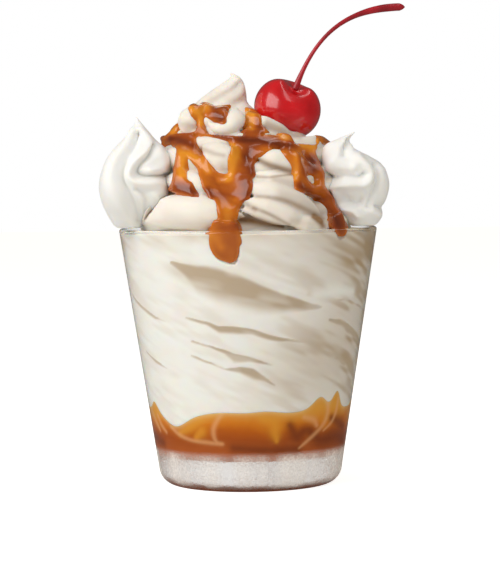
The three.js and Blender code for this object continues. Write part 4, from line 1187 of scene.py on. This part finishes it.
def sauce_sheet(surface):
    """The sauce on the coils: a sheet that spans their grooves and swells out of its edges."""
    azimuth = np.linspace(-180, 180, SAUCE_COLUMNS + 1)[:-1]
    rise = np.radians(np.linspace(SAUCE_LOW, SAUCE_HIGH, SAUCE_ROWS + 1))
    level = around(azimuth[None, :], np.cos(rise)[:, None], np.sin(rise)[:, None])
    reach = np.array([
        [reach_along(surface, SAUCE_MIDDLE, direction) for direction in row] for row in level
    ])
    bare = ~np.isfinite(reach)
    reach[bare] = 40.0
    span = reach.copy()
    for _ in range(BRIDGING):
        span = np.maximum(reach, blurred(span))
    even = span
    for _ in range(EVENING):
        even = blurred(even)
    spots = SAUCE_MIDDLE + level * (0.5 * (span + reach))[..., None]
    x, z = seen_from_front(spots)
    # On the front: the outlines together, rounded at their edges.
    front = np.abs(azimuth)[None, :] < SAUCE_FRONT
    dry = np.ones_like(reach)
    edge = np.full_like(reach, -1e9)
    for outline in SAUCE_SHAPES:
        inside = within(x, z, outline)
        edge = np.maximum(edge, inside)
        dry *= 1 - np.clip(inside / SAUCE_EDGE, 0, 1)
    for outline in SAUCE_GAPS:
        gap = -within(x, z, outline)
        edge = np.minimum(edge, gap)
        dry = np.maximum(dry, 1 - np.clip(gap / SAUCE_EDGE, 0, 1))
    share = np.where(front, 1 - dry, 0)
    edge = np.where(front, edge, -9)
    relief = relief_at(x, z, SAUCE_RELIEF) * front
    # Round the sides and behind: the strands.
    for rows in STRANDS:
        points, halves = strand_points(surface, rows)
        for point, half in zip(points, halves):
            away = 1.15 * half - np.sqrt(((spots - point) ** 2).sum(axis=-1))
            edge = np.maximum(edge, away)
            share = np.maximum(share, np.clip(away / SAUCE_EDGE, 0, 1))
    # A round edge, over a sheet that fills the grooves and runs in under its own edge.
    swell = SAUCE_SWELL * np.sqrt(share * (2 - share))
    filled = (np.maximum(even, reach - 0.4) - reach) * smoothstep(share, 0.0, 0.4)
    under = np.clip(-edge, 0, 1)
    height = reach + filled + swell + 1.4 * relief * share - under * 0.9
    smooth = height
    for _ in range(SMOOTHING):
        smooth = blurred(smooth)
    height = np.where(share > 0.25, smooth, height)
    keep = (edge > -0.75) & ~bare
    return level, height, keep


def sauce_piece(surface):
    """The sheet as a mesh: a grid rolled round the middle, cut to the sauce and backed."""
    level, height, keep = sauce_sheet(surface)
    points = keep_inside_glass((SAUCE_MIDDLE + level * height[..., None]).reshape(-1, 3))
    bpy.ops.object.select_all(action="DESELECT")
    bpy.ops.mesh.primitive_grid_add(
        x_subdivisions=SAUCE_COLUMNS, y_subdivisions=SAUCE_ROWS, size=2 * MM
    )
    sheet = named(bpy.context.object, "sauce_sheet")
    flat = points_of(sheet)
    column = np.rint((flat[:, 0] + 1) / 2 * SAUCE_COLUMNS).astype(int) % SAUCE_COLUMNS
    row = np.rint((flat[:, 1] + 1) / 2 * SAUCE_ROWS).astype(int)
    move_points(sheet, points[row * SAUCE_COLUMNS + column])
    bpy.ops.object.mode_set(mode="EDIT")
    bpy.ops.mesh.select_mode(type="VERT")
    bpy.ops.mesh.select_all(action="DESELECT")
    bpy.ops.object.mode_set(mode="OBJECT")
    sheet.data.vertices.foreach_set("select", ~keep[row, column])
    bpy.ops.object.mode_set(mode="EDIT")
    bpy.ops.mesh.delete(type="VERT")
    welded()
    modified(sheet, "SOLIDIFY", thickness=SAUCE_BACKING * MM, offset=-1.0)
    return sheet


def drop_piece(name, rows):
    """A run of sauce flattened against the inside of the glass."""
    table = blended(rows, np.linspace(0, 1, 49))
    points = around(table[:, 0], inner_wall(table[:, 1]) - 0.6, table[:, 1])

    def radius_at(step, angle):
        half = table[step, 2]
        thin = np.minimum(half, 1.05)
        return ((np.abs(np.cos(angle)) / thin) ** 3 + (np.abs(np.sin(angle)) / half) ** 3) ** (-1 / 3)

    return bent(name, points, 40, around(np.array(table[0, 0]), 1.0, 0.0), radius_at)


def caramel_sauce():
    finish = Finish("caramel_sauce")
    finish.set(
        Subsurface_Weight=0.2, Subsurface_Radius=(1.0, 0.35, 0.08), Subsurface_Scale=0.0015,
        Roughness=0.2, IOR=1.42, Coat_Weight=0.35, Coat_Roughness=0.07,
    )
    drift = finish.noise(150, finish.place(), 2.0)
    depth = finish.attribute("sauce_depth_and_painted_light")
    level = finish.math("ADD", depth, finish.math("MULTIPLY_ADD", drift, 0.3, -0.15))
    finish.colour(finish.ramp(level, [
        (0.0, (0.78, 0.29, 0.02)),
        (0.25, (0.6, 0.165, 0.01)),
        (0.5, (0.38, 0.08, 0.008)),
        (0.75, (0.22, 0.04, 0.007)),
        (1.0, (0.11, 0.02, 0.006)),
    ]))
    return finish.material


under_sauce = outer_surface([swirl, packed])
drizzle = joined(
    "caramel_drizzle",
    [sauce_piece(under_sauce)] + [drop_piece(f"drop_{i}", rows) for i, rows in enumerate(DROPS)],
)
modified(drizzle, "REMESH", mode="VOXEL", voxel_size=SAUCE_VOXEL * MM)
modified(drizzle, "SMOOTH", factor=0.5, iterations=7)
depths = [under_sauce.find_nearest(Vector(point))[3] for point in points_of(drizzle)]
sauce_x, sauce_z = seen_from_front(points_of(drizzle))
facing = points_of(drizzle)[:, 1] < 0
# A tone that deepens where the sauce is thicker, with painted light and painted shade from the tables over
# it.
tone = 0.25 + 0.13 * np.minimum(np.array(depths), 3.0)
tone -= 0.42 * relief_at(sauce_x, sauce_z, SAUCE_AMBER) * facing
tone += 0.36 * relief_at(sauce_x, sauce_z, SAUCE_DARK) * facing
note(drizzle, "sauce_depth_and_painted_light", tone)
only(drizzle)
bpy.ops.object.shade_smooth()
drizzle.data.materials.clear()
drizzle.data.materials.append(caramel_sauce())
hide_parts("soft_serve")
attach(drizzle, "root")

# ---- Whipped cream -----------------------------------------------------------------------------
# Two rosettes of whipped cream from a star nozzle, one each side. Their ridges lean one way at
# the foot and wind the other way up to a drawn-out tip.

# Their creases and crests, given as the peak's are.
LEFT_RELIEF = [
    (1.5, [(-37.4, 120.8, 1), (-38.8, 117.3, 1.6), (-41.5, 113.5, 2.2), (-44.1, 109.4, 2.6),
     (-45, 104.7, 2.8), (-43.9, 99.8, 2.8), (-41.9, 95.3, 2.4), (-39.8, 91, 1.8)]),
    (-2.2, [(-36.2, 119.2, 0.8), (-37.6, 115.3, 1.4), (-40.1, 111.4, 1.6), (-41.3, 107.1, 1.5),
     (-41.1, 103.6, 1.5), (-39, 99.8, 1.8), (-36.6, 95.7, 2.2), (-35.3, 91.4, 2.2)]),
    (1.7, [(-35.4, 121.2, 0.8), (-33.5, 118.2, 1.2), (-32.7, 115.3, 1.4), (-34.5, 112.4, 1.5),
     (-37.4, 109.4, 1.5), (-39, 106.1, 1.6), (-37.2, 103.6, 1.5), (-33.3, 102.8, 1.6), (-30, 102.6, 2),
     (-28.8, 99.2, 2)]),
    (-1.8, [(-31.3, 115.5, 0.8), (-32.5, 112.2, 1.1), (-35.3, 109.4, 1.1), (-36.2, 107.1, 1),
     (-34.3, 105.7, 0.9), (-30.4, 105.5, 0.8), (-26.4, 105.7, 0.8)]),
    (1.3, [(-29.8, 114.3, 1.4), (-28, 110.8, 1.8), (-29, 108.1, 1.5), (-32.3, 107.3, 1)]),
    (-1.4, [(-36.2, 101.2, 1), (-33.9, 99.2, 1.1), (-33.3, 96.3, 1.1), (-33.3, 93.8, 1)]),
    (1.2, [(-31.3, 98.9, 1.4), (-30.7, 96.1, 1.4)]),
]
RIGHT_RELIEF = [
    (-1.1, [(34.9, 117.9, 0.4), (33.3, 116.3, 0.6), (32.4, 113.9, 0.8), (32, 111.6, 0.8)]),
    (0.9, [(32.3, 116.7, 0.7), (30.6, 114.5, 1.2), (29.8, 112, 1.6), (28.4, 109, 1.8), (28, 106.7, 1.4)]),
    (0.9, [(34.1, 114.9, 0.7), (34.3, 112.4, 1.1), (35.6, 109.6, 1.5), (35.3, 107.1, 1.3)]),
    (-2.4, [(26.2, 104.7, 1.2), (29, 104.5, 1.5), (31.3, 104.9, 1.5), (33.9, 104.7, 1.4),
     (36.6, 104.5, 1.2), (38.6, 105.5, 0.9)]),
    (1.7, [(28.8, 100.6, 1.2), (31.7, 101.2, 1.3), (35.3, 101.4, 1.3), (38.6, 101.4, 1.4),
     (40.5, 103.6, 1.3), (40, 106.7, 1.3), (37.8, 109.6, 1.2), (35.8, 112, 1)]),
    (-1.2, [(41.9, 108.1, 0.9), (42.5, 104.7, 0.9), (41.9, 101.2, 0.9), (40.7, 97.9, 1), (39.8, 94.7, 1)]),
    (-2.6, [(33.1, 96.7, 1.4), (35.1, 95.9, 1.6), (37.4, 96.3, 1.5)]),
    (1.5, [(30, 98.9, 1), (30.7, 95.7, 1.1), (32.3, 93.4, 1.1), (35.1, 92.8, 1), (36.8, 91.2, 1)]),
    (1.0, [(44.1, 106.5, 1.8), (45, 101.8, 2), (44.1, 97.3, 1.8)]),
    (1.0, [(40.7, 92.8, 1.4), (43.1, 91.6, 1.2)]),
    (-1.0, [(42.5, 94.7, 0.7), (44.7, 94, 0.7)]),
]


def whipped():
    finish = Finish("whipped_cream")
    finish.set(
        Subsurface_Weight=1.0, Subsurface_Radius=(1.0, 0.9, 0.75), Subsurface_Scale=0.0011,
        IOR=1.38, Specular_IOR_Level=0.45,
    )
    where = finish.place()
    cream = finish.ramp(finish.noise(70, where), [
        (0.3, (0.86, 0.86, 0.835)), (0.7, (0.9, 0.9, 0.88)),
    ])
    # Painted shade: a greyer cream in the grooves.
    finish.colour(finish.mix(finish.attribute("painted_shade"), cream, (0.62, 0.605, 0.54)))
    finish.rough(finish.ramp(finish.noise(500, where), [(0.3, 0.4), (0.7, 0.52)]))
    finish.bump(finish.noise(900, where, 3.0), 0.08, 0.0002)
    return finish.material


whipped_finish = whipped()
for name, node, edges, relief in (
    ("left_rosette", "whipped_cream_left", LEFT_EDGES, LEFT_RELIEF),
    ("right_rosette", "whipped_cream_right", RIGHT_EDGES, RIGHT_RELIEF),
):
    rosette = drawn_up(name, edges, ROSETTE_MIDDLE, 1, relief, 7, 0.17, 0.05)
    modified(rosette, "SMOOTH", factor=0.5, iterations=4)
    # Painted shade in the grooves of the rosette.
    note(rosette, "painted_shade", groove_share(rosette, 90, 1.3))
    rosette.data.materials.append(whipped_finish)
    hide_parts(node)
    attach(rosette, "root")

# ---- Cherry and its stem -----------------------------------------------------------------------
# A stoned maraschino cherry, steeped red and glossy with syrup, with the deep dimple of its stem.
# The stem is thin, bent in one long curve and clubbed where it was picked.

CHERRY_CENTRE = (13.9, -0.5, 127.8)
CHERRY_RADIUS = 11.45
CHERRY_FLATNESS = 0.91
CHERRY_TILT_RIGHT = 20  # degrees
CHERRY_TILT_FRONT = 30
# The stem's line: it starts at the dimple, and bends by these points to its picked end.
STEM_BEND = [(23.7, -2, 153.1), (34.5, 1.5, 161.9), (54.3, 3, 161.8)]
STEM_THICKNESS = [(1.2,), (0.8,), (0.68,), (0.66,), (0.68,), (0.74,), (0.85,), (1.1,), (1.3,), (1.25,)]
STEM_STEPS = 96


def cherry_reach(angle):
    """Its radius at an angle from the stem's end."""
    dimple = 0.23 * np.exp(-((angle / 0.42) ** 4))
    return CHERRY_RADIUS * (1 - dimple)


def tilted(points):
    """From the fruit's own axis to where it lies."""
    front, right = math.radians(CHERRY_TILT_FRONT), math.radians(CHERRY_TILT_RIGHT)
    turn_x = np.array([
        [1, 0, 0], [0, math.cos(front), -math.sin(front)], [0, math.sin(front), math.cos(front)],
    ])
    turn_y = np.array([
        [math.cos(right), 0, math.sin(right)], [0, 1, 0], [-math.sin(right), 0, math.cos(right)],
    ])
    return points @ (turn_x @ turn_y).T + np.array(CHERRY_CENTRE)


def cherry_point(azimuth, share):
    angle = math.pi * (1 - share)
    reach = cherry_reach(angle)
    # The fruit's seam lowers its lip in front and most behind.
    forward = np.cos(np.radians(azimuth))
    seam = (0.17 - 0.05 * forward) * forward**2
    reach = reach * (1 - seam * np.exp(-(((angle - 0.5) / 0.36) ** 2)))
    return tilted(around(azimuth, reach * np.sin(angle), reach * np.cos(angle) * CHERRY_FLATNESS))


def cherry_skin():
    finish = Finish("syrup_cherry")
    finish.set(
        Subsurface_Weight=0.25, Subsurface_Radius=(1.0, 0.1, 0.06), Subsurface_Scale=0.002,
        Roughness=0.3, IOR=1.42, Coat_Weight=1.0, Coat_Roughness=0.12,
    )
    where = finish.place()
    finish.colour(finish.ramp(finish.noise(110, where, 2.0), [
        (0.3, (0.52, 0.003, 0.006)), (0.7, (0.7, 0.007, 0.012)),
    ]))
    finish.bump(finish.noise(240, where, 2.0), 0.05, 0.0003)
    return finish.material


def stem_skin():
    finish = Finish("cherry_stem")
    finish.set(Roughness=0.35, IOR=1.45, Coat_Weight=0.2, Coat_Roughness=0.2)
    along = finish.noise(160, finish.place((1, 1, 0.3)), 3.0)
    finish.colour(finish.ramp(along, [(0.3, (0.24, 0.006, 0.012)), (0.7, (0.5, 0.012, 0.024))]))
    finish.bump(finish.noise(900, finish.place((1, 1, 0.2)), 2.0), 0.2, 0.0002)
    return finish.material


cherry = skin("cherry_fruit", 128, 120, cherry_point)
cherry.data.materials.append(cherry_skin())
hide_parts("cherry")
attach(cherry, "root")


def stem_line(steps):
    """Points along the stem, from its foot in the dimple."""
    foot = tilted(np.array([[0, 0, cherry_reach(0.0) * CHERRY_FLATNESS - 0.6]]))[0]
    a, b, c, d = np.array([foot, *STEM_BEND])
    t = np.linspace(0, 1, steps + 1)[:, None]
    return (1 - t) ** 3 * a + 3 * (1 - t) ** 2 * t * b + 3 * (1 - t) * t**2 * c + t**3 * d


def stem_radius(step, angle):
    share = step / STEM_STEPS
    rounding = np.sqrt(np.clip((1 - share) / 0.03, 0.02, 1))
    return blended(STEM_THICKNESS, share)[:, 0] * rounding * (1 + 0.04 * np.cos(5 * angle))


stem = bent("stem", stem_line(STEM_STEPS), 20, (0, -1, 0), stem_radius)
stem.data.materials.append(stem_skin())
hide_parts("cherry_stem")
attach(stem, "root")

# ---- Table, light and camera -------------------------------------------------------------------
# A white studio table under a white sky, a large soft lamp high on the left, a strip lamp overhead,
# a fill lamp on the right and a long lens a little above the rim.


def studio_table():
    """White as it is seen, and dimmer as a light, so that the sides keep their shading."""
    bpy.ops.object.select_all(action="DESELECT")
    bpy.ops.mesh.primitive_plane_add(size=6, location=(0, 0, 0))
    table = named(bpy.context.object, "table_top")
    finish = Finish("white_table")
    finish.set(Roughness=0.9, Specular_IOR_Level=0.1, Emission_Color=(1, 1, 1, 1))
    finish.colour(finish.mix(finish.ray("Is Glossy Ray"), (0.8, 0.79, 0.76), (0.18, 0.18, 0.18)))
    glow = finish.math("MULTIPLY", finish.seen_directly(), 0.7)
    finish.link(glow, finish.shader.inputs["Emission Strength"])
    table.data.materials.append(finish.material)


def studio_sky():
    """White behind the object, a soft even light for dull surfaces, and dim in gloss."""
    world = bpy.data.worlds.new("studio_sky")
    bpy.context.scene.world = world
    world.use_nodes = True
    sky = Nodes(world.node_tree)
    light = sky.mix(sky.ray("Is Glossy Ray"), (0.42, 0.395, 0.36), (0.08, 0.08, 0.08))
    shown = sky.mix(sky.seen_directly(), light, (1, 1, 1))
    sky.link(shown, sky.tree.nodes["Background"].inputs["Color"])


def lamp(name, place, target, energy, width, height, glossy=True):
    """A soft lamp that shines on a target and isn't seen through the glass."""
    data = bpy.data.lights.new(name, "AREA")
    data.energy = energy
    data.shape = "RECTANGLE"
    data.size = width
    data.size_y = height
    made = bpy.data.objects.new(name, data)
    bpy.context.collection.objects.link(made)
    made.location = place
    made.rotation_euler = (Vector(target) - Vector(place)).to_track_quat("-Z", "Y").to_euler()
    made.visible_transmission = False
    made.visible_glossy = glossy


CAMERA_DISTANCE = 0.843  # metres
CAMERA_HEIGHT = 0.111
CAMERA_SIDE = 0.0005
CAMERA_PITCH = 2.85  # degrees down
CAMERA_ROLL = 0.65
CAMERA_LENS = 158.3


def studio_camera():
    data = bpy.data.cameras.new("camera")
    data.sensor_width = 36.0
    data.lens = CAMERA_LENS
    data.clip_start = 0.01
    camera = bpy.data.objects.new("camera", data)
    bpy.context.collection.objects.link(camera)
    camera.location = (CAMERA_SIDE, -CAMERA_DISTANCE, CAMERA_HEIGHT)
    camera.rotation_euler = (math.radians(90 - CAMERA_PITCH), 0, 0)
    camera.rotation_euler.rotate_axis("Z", math.radians(-CAMERA_ROLL))
    bpy.context.scene.camera = camera


studio_table()
studio_sky()
lamp("key", (-0.62, -0.46, 0.6), (0, 0, 0.1), 6.3, 0.8, 0.8)
lamp("top", (0.22, 0.03, 0.78), (0, 0, 0.12), 0.6, 0.8, 0.12)
lamp("fill", (0.6, -0.7, 0.35), (0, 0, 0.06), 1.5, 0.5, 0.7, False)
studio_camera()
bpy.context.scene.view_settings.view_transform = "Standard"
